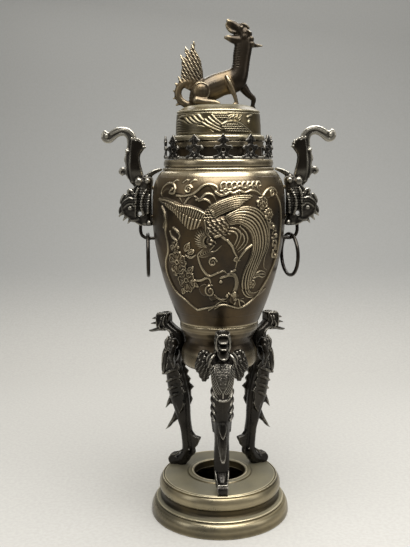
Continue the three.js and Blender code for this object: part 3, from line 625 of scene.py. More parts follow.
class Relief:
    """A raised drawing on a sheet, x across and z up, all in millimetres."""

    def __init__(self, left, right, low, high, pitch):
        self.x = np.linspace(left, right, round((right - left) / pitch) + 1)
        self.z = np.linspace(low, high, round((high - low) / pitch) + 1)
        self.mounds = np.zeros((len(self.z), len(self.x)))
        self.lines = np.zeros_like(self.mounds)

    def window(self, path, margin):
        """The part of the sheet near a path, as slices and coordinates."""
        (left, low), (right, high) = path.min(axis=0) - margin, path.max(axis=0) + margin
        columns = slice(*np.searchsorted(self.x, (left, right)))
        rows = slice(*np.searchsorted(self.z, (low, high)))
        return (rows, columns), np.meshgrid(self.x[columns], self.z[rows])

    def line(self, points, width=1.0, height=0.7, root=1.0, tip=0.4, steps=6):
        """A rounded ridge along a curve, whose size at its ends is root and tip."""
        path = smooth(points, steps)
        width = LINE_BOLDNESS * width
        spot, (across, up) = self.window(path, width)
        if across.size:
            away, along = distance_to(path, across, up)
            size = np.interp(along, [0, 0.4, 1], [root, 1, tip])
            ridge = height * size * np.sqrt(np.clip(1 - (away / (width * size)) ** 2, 0, 1))
            self.lines[spot] = np.maximum(self.lines[spot], ridge)

    def mound(self, points, height, edge=2.0, steps=6):
        """A swelling inside an outline, or a hollow where height is negative."""
        path = smooth(points, steps, closed=True)
        path = np.vstack([path, path[:1]])
        spot, (across, up) = self.window(path, 0.5)
        away, _ = distance_to(path, across, up)
        inside = np.zeros(across.shape, bool)
        for (x0, z0), (x1, z1) in zip(path, path[1:]):
            crosses = (z0 > up) != (z1 > up)
            inside ^= crosses & (across < x0 + (x1 - x0) * (up - z0) / ((z1 - z0) or 1e-9))
        rise = height * np.where(inside, np.sin(np.clip(away / edge, 0, 1) * math.pi / 2), 0)
        current = self.mounds[spot]
        if height < 0:
            self.mounds[spot] = np.minimum(current, rise)
        else:
            self.mounds[spot] = np.where(rise > 0, np.maximum(current, 0) + rise, current)
        return inside, spot

    def family(self, first, last, count, **look):
        """Parallel lines that change evenly from one guide curve to another."""
        first, last = evenly(smooth(first), 16), evenly(smooth(last), 16)
        for share in np.linspace(0, 1, count):
            self.line(first + share * (last - first), steps=2, **look)

    def ribs(self, first, last, count, **look):
        """Short lines from one guide curve across to another."""
        first, last = evenly(smooth(first), count), evenly(smooth(last), count)
        for a, b in zip(first, last):
            self.line([a, b], steps=2, **look)

    def spiral(self, centre, radius, turns=1.6, start=0.0, **look):
        """A line that winds in to a centre."""
        sweep = np.linspace(0, 1, 16)
        angle = start + 2 * math.pi * turns * sweep
        reach = radius * (1 - 0.85 * sweep)
        self.line(np.stack([
            centre[0] + reach * np.cos(angle), centre[1] + reach * np.sin(angle),
        ], axis=1), steps=3, **look)

    def scales(self, points, size, height):
        """Overlapping fish scales inside an outline."""
        inside, spot = self.mound(points, 1e-6)
        across, up = np.meshgrid(self.x[spot[1]], self.z[spot[0]])
        row = np.floor(up / size)
        u = across / size + 0.5 * (row % 2)
        u, v = u - np.floor(u) - 0.5, up / size - row
        rim = np.exp(-((np.hypot(u, v) - 0.5) / 0.13) ** 2)
        self.lines[spot] = np.maximum(self.lines[spot], np.where(inside, height * rim, 0))

    def height(self):
        return self.mounds + LINE_RISE * self.lines


# %% [markdown]
# ### The bird panel
#
# The front of the vase shows a long-tailed bird among clouds, peonies and a tree, in a sunken panel whose
# border is made of scrolls. x is measured round the vase from its middle line. Feathers are families of
# lines between two guide curves, so a wing or a tail takes two curves and a count.

# %% Border, clouds and hills
PLAQUE_HALF, PLAQUE_LOW, PLAQUE_HIGH = 84, 224, 364
panel = Relief(-PLAQUE_HALF, PLAQUE_HALF, PLAQUE_LOW, PLAQUE_HIGH, 0.5)

left_border = [(-65, 335), (-59.5, 327.6), (-58.2, 318), (-60, 311), (-58.4, 300), (-60, 290), (-68, 279),
               (-70.5, 268), (-62, 250), (-48.2, 241.6), (-31, 231.4)]
lower_border = [(-31, 231.4), (-12, 235.1), (7, 237.7), (30, 234), (48, 242), (64, 258), (74, 275)]
right_border = [(74, 275), (77.5, 292), (77, 310), (77, 326), (75, 337), (68, 346)]
upper_border = [(68, 346), (52, 344), (33, 350), (14, 347), (-2, 350), (-10, 357), (-20, 352), (-30, 347),
                (-46, 350), (-60, 352), (-68, 345)]
panel.mound([*left_border, *lower_border[1:], *right_border[1:], *upper_border[1:]], -0.8, edge=1.6)
for border in (left_border, lower_border, right_border):
    panel.line(border, width=1.2, height=1.0, tip=0.8)
panel.line([(-58.2, 318), (-62.8, 314.6), (-60, 322), (-63, 328)], width=1.1, height=1.0)
panel.line([(-50, 353), (-54.5, 349), (-48, 348.6), (-46, 352.4), (-50, 357.4), (-58, 358), (-65, 354),
            (-67.4, 349), (-66, 344)], width=1.2, height=1.1)
panel.spiral((-30.7, 352.6), 4.2, 1.7, 0.4, width=0.9, height=1.0)
panel.line([(-44, 346.4), (-36, 346), (-27, 347.4), (-20.6, 351.4), (-17, 355), (-11.7, 357.4), (-5.6, 357),
            (-1.6, 354.6), (-0.8, 352), (-3, 349.8)], width=1.2, height=1.2)
cloud = [(-3, 349.8), (2, 346.8), (6.6, 347.4), (11, 350), (14.6, 348.8), (20.4, 351), (26.6, 349.2),
         (33, 351.3), (39.7, 350), (43.6, 347.4), (47, 345.4)]
panel.line(cloud, width=1.2, height=1.2)
panel.line([(x, z + 3.4 + math.sin(x)) for x, z in cloud[1:-1]], width=0.9, height=0.9)
panel.spiral((7, 350.4), 3.2, 1.5, 0.0, width=0.8, height=1.1)
panel.spiral((19, 348.2), 2.6, 1.5, 2.0, width=0.7, height=0.9)
for k in range(8):
    x = 5 + 5.4 * k
    panel.line([(x - 2.4, 353.8), (x - 2.8, 356.8), (x - 0.4, 359.2), (x + 2.6, 358.4), (x + 2.8, 355.6),
                (x + 0.8, 355)], width=1.1, height=1.0)
panel.line([(46.6, 345.6), (51, 349.6), (57, 352.4), (64, 352.6), (69, 349), (68, 343)], width=1.1,
           height=1.1)
panel.spiral((60.6, 348), 3.8, 1.6, 0.8, width=0.9, height=1.1)
for x in (-47, -34.4, -25.6):
    panel.line([(x - 3.4, 359), (x, 361.4), (x + 3.4, 361)], width=0.8, height=0.6)
for hill in ([(-35, 338), (-30.4, 344), (-25.6, 346.3), (-20.7, 344)],
             [(-22, 342.6), (-17, 344), (-13.7, 347.4), (-9.1, 348.5), (-5, 346.8), (-2, 341)],
             [(-19.4, 342), (-13.7, 343.1), (-9.1, 340.9), (-6.8, 337.7)]):
    panel.line(hill, width=1.1, height=1.0)
panel.line([(-41.4, 346), (-39, 342.8), (-36.4, 338.6)], width=0.9, height=0.8)

# %% The bird
# the spread wing: its leading edge with small feathers on it, and two rows of long ones
lead = [(-70, 342), (-59, 342.6), (-50, 340.4), (-40.7, 337.6), (-29, 336.2), (-19.3, 333.4), (-13.5, 330.4)]
trail = [(-69, 339), (-56.3, 334.4), (-46, 328.6), (-40.5, 323), (-35.3, 318), (-29, 313.8), (-21, 315.4)]
panel.mound([*lead, (-12, 322), *trail[::-1]], 0.9, edge=5)
panel.line(lead, width=1.6, height=1.2)
for x, z in evenly(smooth(lead), 30)[4:]:
    panel.line([(x, z - 0.3), (x + 0.4, z - 0.9)], width=0.9, height=1.5, tip=1, steps=1)
middle_row = [(0.45 * ax + 0.55 * bx, 0.5 * (az + bz)) for (ax, az), (bx, bz) in zip(lead, trail)]
panel.ribs(lead[1:], middle_row[1:], 20, width=0.8, height=0.85)
panel.line(middle_row, width=0.7, height=0.6)
panel.ribs(middle_row[1:], trail[1:], 13, width=1.05, height=1.0)
# the folded wing behind, then the body with its feathers and the scaly mantle
upper_wing = [(-9, 335.5), (1, 341), (11, 344.6), (21.5, 346.6), (35, 345.8)]
lower_wing = [(-3.5, 326.4), (2, 329), (8, 331.6), (14, 333.6), (19, 335)]
panel.mound([*upper_wing, (26, 340.6), *lower_wing[::-1]], 0.5, edge=4)
panel.family(upper_wing, lower_wing, 7, width=1.05, height=1.25, tip=0.45)
body = [(-19, 322), (-12, 327), (-3.5, 326), (6, 327), (10, 320), (8.7, 313), (3, 308.4), (-4, 305.6),
        (-11, 309), (-15, 315)]
panel.mound(body, 1.8, edge=6)
for row in range(6):
    for step in range(5):
        x, z = -11 + 4.4 * step + 1.6 * (row % 2), 322.6 - 2.9 * row + 0.9 * step
        panel.line([(x, z), (x + 1.8, z - 1.6), (x + 4, z - 1.7)], width=0.8, height=0.85, root=0.5)
mantle = [(-15, 325.4), (-14.6, 330.8), (-9.1, 334.6), (-3, 331.2), (-4.6, 325.4), (-10.2, 323.4)]
panel.mound(mantle, 0.9, edge=2.5)
panel.scales(mantle, 2.6, 1.2)
panel.line([(-13, 323), (-12.2, 316), (-13.6, 311)], width=0.8, height=0.7)
# head, beak and eye line, the ruff that stands out round them, and the beard
panel.mound([(-13, 303), (-11, 307), (-7, 307.4), (-4.6, 304), (-6, 299.4), (-10.6, 298.6)], 1.6, edge=3)
panel.line([(-7, 304), (-4.6, 303), (-2.6, 300.6)], width=1.2, height=1.5, tip=0.3)
panel.line([(-9, 300), (-6.6, 299.4), (-4.4, 298)], width=0.9, height=1.1, tip=0.3)
for k in range(15):
    angle = math.radians(84 + 10.5 * k)
    near, far = 5.6, 9.5 + 6.5 * math.sin(math.radians(14 + 11 * k))
    toward = np.array([math.cos(angle), math.sin(angle)])
    bend = np.array([-toward[1], toward[0]]) * 1.2
    spine = np.array([-9.5, 302.5])
    panel.line([spine + near * toward, spine + 0.6 * far * toward + bend, spine + far * toward], width=0.95,
               height=1.25, tip=0.2)
panel.family([(-12, 298), (-18, 293), (-22, 289), (-16, 287), (-6, 290)],
             [(-5, 298.4), (-8, 295), (-10, 293), (-4, 293), (3, 299)], 6, width=0.8, height=0.8)
panel.line([(-3.7, 306.9), (2, 308), (7, 304), (8.7, 303.4)], width=1.4, height=1.2)

# %% Tail and legs of the bird
# one great plume that turns over the body and down, and short loops inside it
outer_tail = [(6.4, 326.7), (13, 331), (21.2, 333.6), (31, 333.4), (40, 329.7), (48, 321), (53.6, 309.4),
              (54.6, 297.7), (49.4, 285), (42.6, 271), (37.6, 260.6), (36.6, 253), (41.6, 249.2),
              (51, 248.6), (62, 250.6)]
inner_tail = [(10.9, 319), (20, 319.8), (28.5, 315), (33.9, 308), (36, 296.8), (34.6, 286.4), (30.3, 276.3),
              (27.2, 266), (28, 254.6), (33.6, 247), (44, 243.6), (57, 246), (68, 251)]
panel.mound([*outer_tail[:12], *inner_tail[8::-1]], 0.7, edge=4)
panel.family(outer_tail, inner_tail, 7, width=1.1, height=1.15, root=0.7, tip=0.5)
panel.line([(12, 330), (24, 335), (40, 332.6), (52, 322), (57, 308), (57.6, 295), (54, 283), (56, 274),
            (62, 271)], width=0.9, height=0.9)
for loop in ([(10, 316), (17.8, 314.4), (22, 309.8), (20.4, 302), (17, 295.3)],
             [(9, 312.6), (15.4, 311.6), (18.6, 308), (17, 302), (14.6, 297)],
             [(21, 316.6), (27.4, 310.7), (29.5, 303.9), (26.8, 297.3), (19.8, 291.8)],
             [(19, 312), (24, 309), (26, 303.6), (23, 298), (19, 294)]):
    panel.line(loop, width=0.9, height=0.95, root=0.6)
# the legs and a foot
panel.line([(8.7, 303.5), (13.5, 297.7), (16, 292), (18.9, 287.3)], width=1.3, height=1.3, tip=0.7)
panel.line([(34.6, 298), (28.4, 293.7), (22.7, 287), (19.3, 281.5), (18, 274)], width=1.2, height=1.2)
panel.spiral((18.2, 284), 2.6, 1.0, 1.0, width=0.8, height=1.1)
for dx, dz in ((-4, -1), (1, -4.4), (4.6, -1.4)):
    panel.line([(18.6, 285), (18.6 + 0.6 * dx, 284.4 + 0.8 * dz), (18.6 + dx, 285 + dz)], width=0.8,
               height=1.0)

# %% Flowers, tree and ground
PETAL = ((0.28, -0.2), (0.7, -0.52), (1.0, -0.26), (0.94, 0), (1.04, 0.24), (0.72, 0.5))


def blossom(sheet, x, z, radius, petals=5, turn=0.3):
    """An open flower: broad petals with rolled rims and creases, about a small knob."""
    for k in range(petals):
        angle = turn + 2 * math.pi * k / petals + 0.16 * math.sin(5 * k)
        toward = np.array([math.cos(angle), math.sin(angle)])
        across = np.array([-toward[1], toward[0]])
        rim = [(x, z) + radius * (far * toward + wide * across) for far, wide in PETAL]
        sheet.mound([(x, z), *rim], 0.7, edge=0.35 * radius)
        sheet.line(rim, width=0.95, height=1.1, root=0.4)
        for wide in (-0.22, 0.04, 0.26):
            sheet.line([(x, z) + radius * (0.34 * toward + 0.3 * wide * across),
                        (x, z) + radius * (0.8 * toward + wide * across)], width=0.55, height=0.55, steps=2)
    sheet.spiral((x, z), 0.28 * radius, 1.2, 0, width=0.8, height=1.2)


def leaf(sheet, root, tip, width, veins=4):
    """A pointed leaf with a midrib and veins."""
    root, tip = np.array(root, float), np.array(tip, float)
    side = np.array([root[1] - tip[1], tip[0] - root[0]]) / np.linalg.norm(tip - root) * width
    middle = 0.55 * root + 0.45 * tip
    sheet.mound([root, middle + side, tip, middle - side], 0.6, edge=1.8)
    for edge in (side, -side):
        sheet.line([root, middle + edge, tip], width=0.7, height=0.8)
        for k in range(1, veins):
            rib = root + (tip - root) * k / veins
            sheet.line([rib, rib + 0.55 * edge + 0.12 * (tip - root)], width=0.45, height=0.4, steps=2)
    sheet.line([root, middle, tip], width=0.6, height=0.6)


for flower in ((-48, 280, 11.5), (-39, 262, 11.5, 5, 0.9), (-49, 295.6, 5.4, 4), (41, 257.8, 4.2),
               (46, 338.6, 6.2, 5, 0.8), (54, 327.4, 5.6, 5, 0.1)):
    blossom(panel, *flower)
for root, tip, width in (((-36, 292), (-30, 301), 3.2), ((-33, 290), (-25, 293.6), 2.6),
                         ((-52, 266), (-59, 274), 2.8), ((-36, 270), (-28, 277), 3.0),
                         ((-44, 254), (-50, 247), 2.6), ((-33, 262), (-24, 256), 2.8)):
    leaf(panel, root, tip, width)
for twig in ([(-53.7, 311), (-50.8, 305.4), (-45, 301), (-47.3, 296.4), (-51, 295)],
             [(-49, 315), (-44, 312), (-41, 308), (-43, 304)],
             [(-22, 288.5), (-20.3, 280.5), (-17, 273.6), (-10.8, 268), (-1.8, 271), (5.8, 273), (9, 270)],
             [(-32, 262.6), (-21.7, 263), (-12, 266), (-9.7, 262), (-11.4, 257)],
             [(-36, 288), (-30, 286), (-24, 289)],
             [(18, 274), (12, 270), (4, 266.6), (2, 268)],
             [(2, 266), (12.3, 268.6), (19, 266.6), (22.4, 260.4), (21, 252), (18, 248.4)]):
    panel.line(twig, width=1.45, height=1.2, root=0.8)
panel.line([(14, 271), (19.4, 266), (20.6, 258), (18.4, 250), (20, 243)], width=2.2, height=1.3, tip=1.1)
# the ground: stones, mounds, roots and eddies of water
for x, z in ((10, 247), (20, 243.4), (-12, 258), (2, 262)):
    panel.mound([(x - 2.4, z), (x, z + 2.2), (x + 2.6, z), (x, z - 2.2)], 1.5, edge=2.4)
panel.mound([(-24, 256), (-17, 259.6), (-9, 256), (-6, 249.6), (-14, 246.4), (-22, 249)], 0.7, edge=3.4)
panel.mound([(15, 249), (20, 252), (24, 249), (27, 241), (33, 233.6), (22, 236), (14, 240)], 1.0, edge=2.5)
panel.mound([(-13, 246), (-8, 249), (-2, 247), (-4, 242.6), (-10, 242)], 1.0, edge=2.5)
for root in ([(12, 249.6), (18, 246.4), (25.6, 243), (33, 243.6)], [(25.6, 243), (27, 238), (30, 232)],
             [(27, 242), (33, 240), (38, 236)], [(22, 244), (20, 238), (21, 233)],
             [(-5.5, 233.6), (3.8, 237.9), (14.6, 236.8)], [(-14, 232), (-6, 236), (2, 241), (10, 241.4)],
             [(-2, 245), (4, 243), (12, 245.6)]):
    panel.line(root, width=1.1, height=1.0)
panel.spiral((-10.4, 252.4), 6.6, 1.5, 1.2, width=0.9, height=0.9)
panel.spiral((-6.5, 282), 4.6, 1.6, 0.2, width=0.9, height=0.9)
for k, (x, z) in enumerate([(58, 317), (62, 307.6), (65, 297), (68, 286.6)]):
    panel.spiral((x + 2, z), 4.6, 1.1, 2.2 + 2.1 * k, width=1.3, height=1.2)
    leaf(panel, (x + 3, z - 1), (x + 10, z - 7 + 3 * (k % 2)), 2.6, 3)
panel.family([(37, 272), (44, 269), (52, 271), (61, 268)], [(42, 264), (49, 266), (56, 264), (63, 265)], 3,
             width=1.0, height=0.9)
print(f"relief stands {panel.height().max():.1f} mm high and {-panel.height().min():.1f} mm deep")

# %% [markdown]
# ### Vase
#
# The pot itself is turned on a lathe. The relief panels need a far finer mesh than the plain wall
# does, so each panel is a thin curved plaque of its own that lies flush in the wall, and the wall steps
# back behind it. Along its edge a plaque has exactly the wall's shape, so the join doesn't show.

# %% The wall
vase_outer = smooth([
    (41.6, 211.4), (42.4, 213.2), (50.5, 232.7), (59.9, 262.3), (67.7, 301.6), (69.2, 328.6), (66.8, 355.5),
    (60.5, 367.4), (57.4, 369.7),
], 24)
PANEL_REACH = 69.2  # the radius at which a panel's x is a true distance round the wall


def wall_radius(z):
    return np.interp(z, vase_outer[:, 1], vase_outer[:, 0])


def foot_stain(z):
    """The wall is a little darker all over, and darker still towards its foot, where the darkening is
    painted shade.
    """
    return 0.15 + 0.5 * ramp(305 - z, 0, 70)


def painted_shoulder_highlight(z):
    """A painted highlight on the shoulder, added to the wear so that it shows the lighter worn colour."""
    return 0.28 * ramp(z, 344, 360)


outer_run = evenly(vase_outer, 150)
inner_run = smooth([(57.2, 369.8), (50.3, 369.8), (50.3, 365.9), (54.6, 364.2), (63.2, 355), (65.6, 329),
                    (64, 301), (56.2, 262), (46.8, 233), (38.8, 216.4), (4.4, 216.3), (4.4, 211.3),
                    (41, 211.3)], 4)
WALL_COLUMNS = 288
OVERLAP = 2  # the wall steps back this far inside a plaque's edge
STEP_BACK, STEP_WIDTH = 2.2, 3
points, faces = turned(np.vstack([outer_run, inner_run]), WALL_COLUMNS)
x, y, z = points.T
outside = np.arange(len(points)) < len(outer_run) * WALL_COLUMNS
x_round = PANEL_REACH * np.arctan2(x, np.abs(y))
edge_gap = np.minimum.reduce([
    PLAQUE_HALF - OVERLAP - np.abs(x_round), z - (PLAQUE_LOW + OVERLAP), PLAQUE_HIGH - OVERLAP - z,
])
sink = np.where(outside, np.clip(edge_gap / STEP_WIDTH, 0, 1) * STEP_BACK, 0)
radius = np.hypot(x, y)
points[:, :2] *= ((radius - sink) / radius)[:, None]
# The wall is painted darker towards its foot as shade, and lighter at its shoulder as a painted highlight.
cast("vase", points, faces, "vessel", ["vase_body"], stain=foot_stain(z), rubbed=painted_shoulder_highlight(z),
     calm=np.where(outside & (edge_gap > -STEP_WIDTH), 0, 1))


# %% The two plaques
def plaque(relief, turn, depth=1.1, rows=9):
    """Points and faces of a relief wrapped on the vase's wall: a fine front and a coarse back."""
    z = np.repeat(relief.z[:, None], len(relief.x), axis=1)
    angle = relief.x / PANEL_REACH + turn
    steps = np.linspace(0, len(relief.z) - 1, rows).astype(int)

    def wrapped(z, lift):
        radius = wall_radius(z) + lift
        return np.stack([radius * np.sin(angle), -radius * np.cos(angle), z], axis=2)

    front, back = wrapped(z, relief.height()), wrapped(z[steps], -depth)
    f = np.arange(z.size).reshape(z.shape)
    b = z.size + np.arange(rows * len(relief.x)).reshape(rows, -1)
    faces = [*quads(f).tolist(), *quads(b)[:, ::-1].tolist()]
    for rim_front, rim_back in ((f[0, ::-1], b[0, ::-1]), (f[-1], b[-1])):
        faces += np.stack([rim_front[:-1], rim_front[1:], rim_back[1:], rim_back[:-1]], axis=1).tolist()
    for low, high, k in zip(steps, steps[1:], range(rows)):
        faces.append([*f[low:high + 1, 0].tolist(), int(b[k + 1, 0]), int(b[k, 0])])
        faces.append([*f[low:high + 1, -1].tolist()[::-1], int(b[k, -1]), int(b[k + 1, -1])])
    return np.vstack([front.reshape(-1, 3), back.reshape(-1, 3)]), faces


def on_plaque(values, points):
    """Values given on the sheet, followed by nothing for the plaque's back."""
    return np.concatenate([values.ravel(), np.zeros(len(points) - values.size)])


inset = np.minimum(*np.meshgrid(
    PLAQUE_HALF - np.abs(panel.x), np.minimum(panel.z - PLAQUE_LOW, PLAQUE_HIGH - panel.z),
))
edge_fade = ramp(inset, 0.6, 3)
for name, turn in (("bird_panel_front", 0), ("bird_panel_back", math.pi)):
    points, faces = plaque(panel, turn)
    z = points[:, 2]
    in_hollow = np.clip(on_plaque(-0.5 * panel.mounds, points), 0, 0.4)
    on_line = on_plaque(np.clip(panel.lines, 0, 1) * 0.25, points)
    # the plaques take the same painted shade at the foot and painted highlight at the shoulder
    cast(name, points, faces, "vessel", ["vase_body"], passes=10, reach=0.45,
         calm=on_plaque(edge_fade, points), stain=in_hollow + foot_stain(z),
         rubbed=on_line + painted_shoulder_highlight(z))

# %% [markdown]
# ### Lid drum
#
# The band round the lid carries swept tail feathers and a small scaly wing with leaves over it. Its sheet
# is wrapped right round the drum, and the drawing stands once in front and once behind. The flat top is
# a piece of its own, so that its six smoke holes can be cut in a light mesh.

# %% Band of the lid
DRUM_REACH = 43.0
HALF_ROUND = math.pi * DRUM_REACH
BAND_LOW, BAND_HIGH = 405.5, 426.2

band = Relief(-HALF_ROUND, HALF_ROUND, BAND_LOW, BAND_HIGH, 0.45)
# feathers that sweep in from the left, and a small scaly wing whose root stands at x = 0
band.family([(-60, 419.4), (-48, 420.2), (-38, 417.8), (-31, 414.8), (-22, 413.6), (-10, 411.6)],
            [(-58, 406.8), (-46, 407.4), (-37, 407), (-28, 406.4), (-17, 406.6), (-5, 407.4)], 6,
            width=1.3, height=1.2, root=0.1)
band.family([(-47, 422.6), (-38, 423.2), (-34, 419.6), (-28, 416), (-21, 414.6)],
            [(-24, 424.8), (-20, 423.9), (-17, 420.6), (-14, 418.3), (-10, 416.9)], 4,
            width=1.4, height=1.3, root=0.7)
band.family([(-16, 417), (-11, 413.6), (-4, 410.4), (2, 408)], [(-6, 423.6), (-2, 419), (2, 416), (6, 414)],
            4, width=1.3, height=1.3, root=0.7)
patch = [(-6, 425), (2, 425.4), (10, 424.8), (9, 421), (4, 418.8), (-1, 420.8)]
band.scales(patch, 2.0, 0.8)
wing = [(3, 414.6), (8.4, 417), (16, 417.4), (23, 415.2), (29.5, 411.2), (37.6, 406.2), (27, 406),
        (16, 406.6), (8.4, 407.2), (3.7, 410.4)]
band.mound(wing, 0.9, edge=2.5)
band.scales(wing, 2.2, 0.9)
band.line(wing[:6], width=1.1, height=1.2)
for root, tip in (((8.4, 418), (16.6, 424.4)), ((12.6, 417.8), (20.8, 424.6)), ((16.4, 417.6), (25, 423.8))):
    leaf(band, root, tip, 2.2)
band.line([(32, 416.6), (33, 418.2), (34, 417)], width=1.2, height=1.1)
band.line([(37, 424), (31, 421.6), (36, 419.8)], width=1.0, height=0.9)
# the same drawing half way round, and nothing at the two edges of the band
for half in (band.mounds, band.lines):
    half[:] = np.maximum(half, np.roll(half, half.shape[1] // 2, axis=1))
FADE_LOW, FADE_HIGH, FADE_WIDTH = 405.6, 425.8, 1.2
fade = np.clip(np.minimum(band.z - FADE_LOW, FADE_HIGH - band.z) / FADE_WIDTH, 0, 1)[:, None]
raised = (band.height() * fade)[:, :-1]

columns = raised.shape[1]
outer_wall = np.stack([np.interp(band.z, [BAND_LOW, 415, BAND_HIGH], [43.8, 43.5, 42.6]), band.z], axis=1)
inner_wall = np.array([(42.2, 426.5), (39.4, 426.2), (40.2, 405.3), (43.4, 405.25)])
points, faces = turned(np.vstack([outer_wall, inner_wall]), columns)
grid = points.reshape(-1, columns, 3)
grow = 1 + np.roll(raised, columns // 2, axis=1) / outer_wall[:, :1]
grid[:len(outer_wall), :, :2] *= grow[..., None]
cast("lid_band", points, faces, "lid", ["lid_drum"], passes=8, reach=0.35)

# %% Top of the lid
LID_TOP = 435.0
lid_top_line = moulding(
    (38.6, 426.1),
    (41.2, 426.1),
    (41.1, 427.2),
    (42.3, 427.5),
    [(42.7, 428.3), (42.2, 429.2)],
    (40.6, 430.1),
    [(36.2, 432.7), (31.2, 434.5)],
    (28, LID_TOP),
    (0.4, LID_TOP),
    (0.4, 431.6),
    (30.8, 431.4),
    (35.8, 429),
    pitch=0.9, ease=0.25,
)
points, faces = turned(lid_top_line, 144)


def pin(x, y, low, high, radius, sides=24):
    """An upright pin."""
    turn = round_steps(sides)
    circle = np.stack([x + radius * np.cos(turn), y + radius * np.sin(turn)], axis=1)
    return prism(*(np.insert(circle, 2, z, axis=1) for z in (low, high)))


VENT_PLACES = [math.radians(degrees) for degrees in (-120, -90, -60, 60, 90, 120)]
VENT_CIRCLE, VENT_RADIUS = 23.5, 2.4
cap = helper_of("cap", [(points, faces)])
pins = helper_of("vents", [
    pin(VENT_CIRCLE * math.cos(a), VENT_CIRCLE * math.sin(a), 415, 450, VENT_RADIUS) for a in VENT_PLACES
])
cap.modifiers.new("cut", "BOOLEAN").object = pins
points, _, faces = taken(cap, pins)
piece = cast("lid_top", points, faces, "lid", ["lid_drum"], reach=0.2)
piece.data.set_sharp_from_angle(angle=math.radians(40))

# %% [markdown]
# ## Patterns
#
# Manes, ridges and the rim of a leaf are rows of beads along a curve, and the crown is one fleur twelve
# times. Those are rules, so Geometry Nodes make them. In the first tree a curve goes in, and a sphere
# stands at even distances along it while its size changes from one end to the other. In the second,
# copies stand about the upright axis, because a count and a first turn say everything.

# %% Geometry Nodes: beads along a curve, copies about the axis
class Pattern(Nodes):
    """A Geometry Nodes tree whose named inputs are a geometry, some numbers and a material."""

    def __init__(self, name, **numbers):
        super().__init__(bpy.data.node_groups.new(name, "GeometryNodeTree"))
        self.sockets = {}
        for label, kind in (("Geometry", "Geometry"), *numbers.items(), ("Material", "Material")):
            label = label.replace("_", " ")
            made = self.tree.interface.new_socket(label, in_out="INPUT", socket_type="NodeSocket" + kind)
            self.sockets[label] = made.identifier
        self.tree.interface.new_socket("Geometry", in_out="OUTPUT", socket_type="NodeSocketGeometry")
        outputs = self.tree.nodes.new("NodeGroupInput").outputs
        self.given = {label: Value(self, outputs[label]) for label in self.sockets}

    def copies(self, points, thing, **place):
        """End the tree: one copy of a thing on every point, made real and given its material."""
        inputs = {"Points": points, "Instance": thing, **place}
        copies = self.node("GeometryNodeInstanceOnPoints", None, inputs)
        real = self.node("GeometryNodeRealizeInstances", None, {0: copies})
        done = self.node("GeometryNodeSetMaterial", None, {0: real, "Material": self.given["Material"]})
        self.feed(self.tree.nodes.new("NodeGroupOutput").inputs[0], done)
        return self

    def made_of(self, seed, numbers):
        """Points and faces of the pattern on a seed object, which goes."""
        step = seed.modifiers.new("pattern", "NODES")
        step.node_group = self.tree
        for label, value in {**numbers, "Material": BRONZE["dark_bronze"]}.items():
            step[self.sockets[label]] = value
        points, _, faces = taken(seed)
        return points, faces


def bead_pattern():
    tree = Pattern("beads_along_a_curve", Count="Int", First_radius="Float", Last_radius="Float")
    count, first, last = (tree.given[label] for label in ("Count", "First radius", "Last radius"))
    spots = tree.node("GeometryNodeCurveToPoints", None, {"Curve": tree.given["Geometry"], "Count": count})
    index = tree.node("GeometryNodeInputIndex")
    along = {"Value": index, "From Max": count, "To Min": first, "To Max": last}
    radius = tree.node("ShaderNodeMapRange", None, along)
    bead = tree.node("GeometryNodeMeshIcoSphere", None, {"Radius": 1.0, "Subdivisions": 2})
    return tree.copies(spots, bead, Scale=radius)


def ring_pattern():
    tree = Pattern("repeat_about_the_axis", Count="Int", Turn="Float")
    spots = tree.node("GeometryNodePoints", None, {"Count": tree.given["Count"]})
    index = tree.node("GeometryNodeInputIndex")
    step = index.math("DIVIDE", 2 * math.pi, tree.given["Count"])
    turn = index.math("MULTIPLY_ADD", index, step, tree.given["Turn"])
    about = tree.node("ShaderNodeCombineXYZ", None, {"Z": turn})
    return tree.copies(spots, tree.given["Geometry"], Rotation=about)


BEADS, RING = bead_pattern(), ring_pattern()

# %% [markdown]
# ## Clay
#
# The legs, handles and the beast aren't turned. They were modelled in wax before they were cast, and this
# notebook does much the same: lumps, limbs and plates are pressed together, then a voxel remesh fuses
# them into one skin and a little smoothing takes off the steps. Fine marks are tooled into that skin
# afterwards, because the remesh would wipe out anything smaller than a voxel.

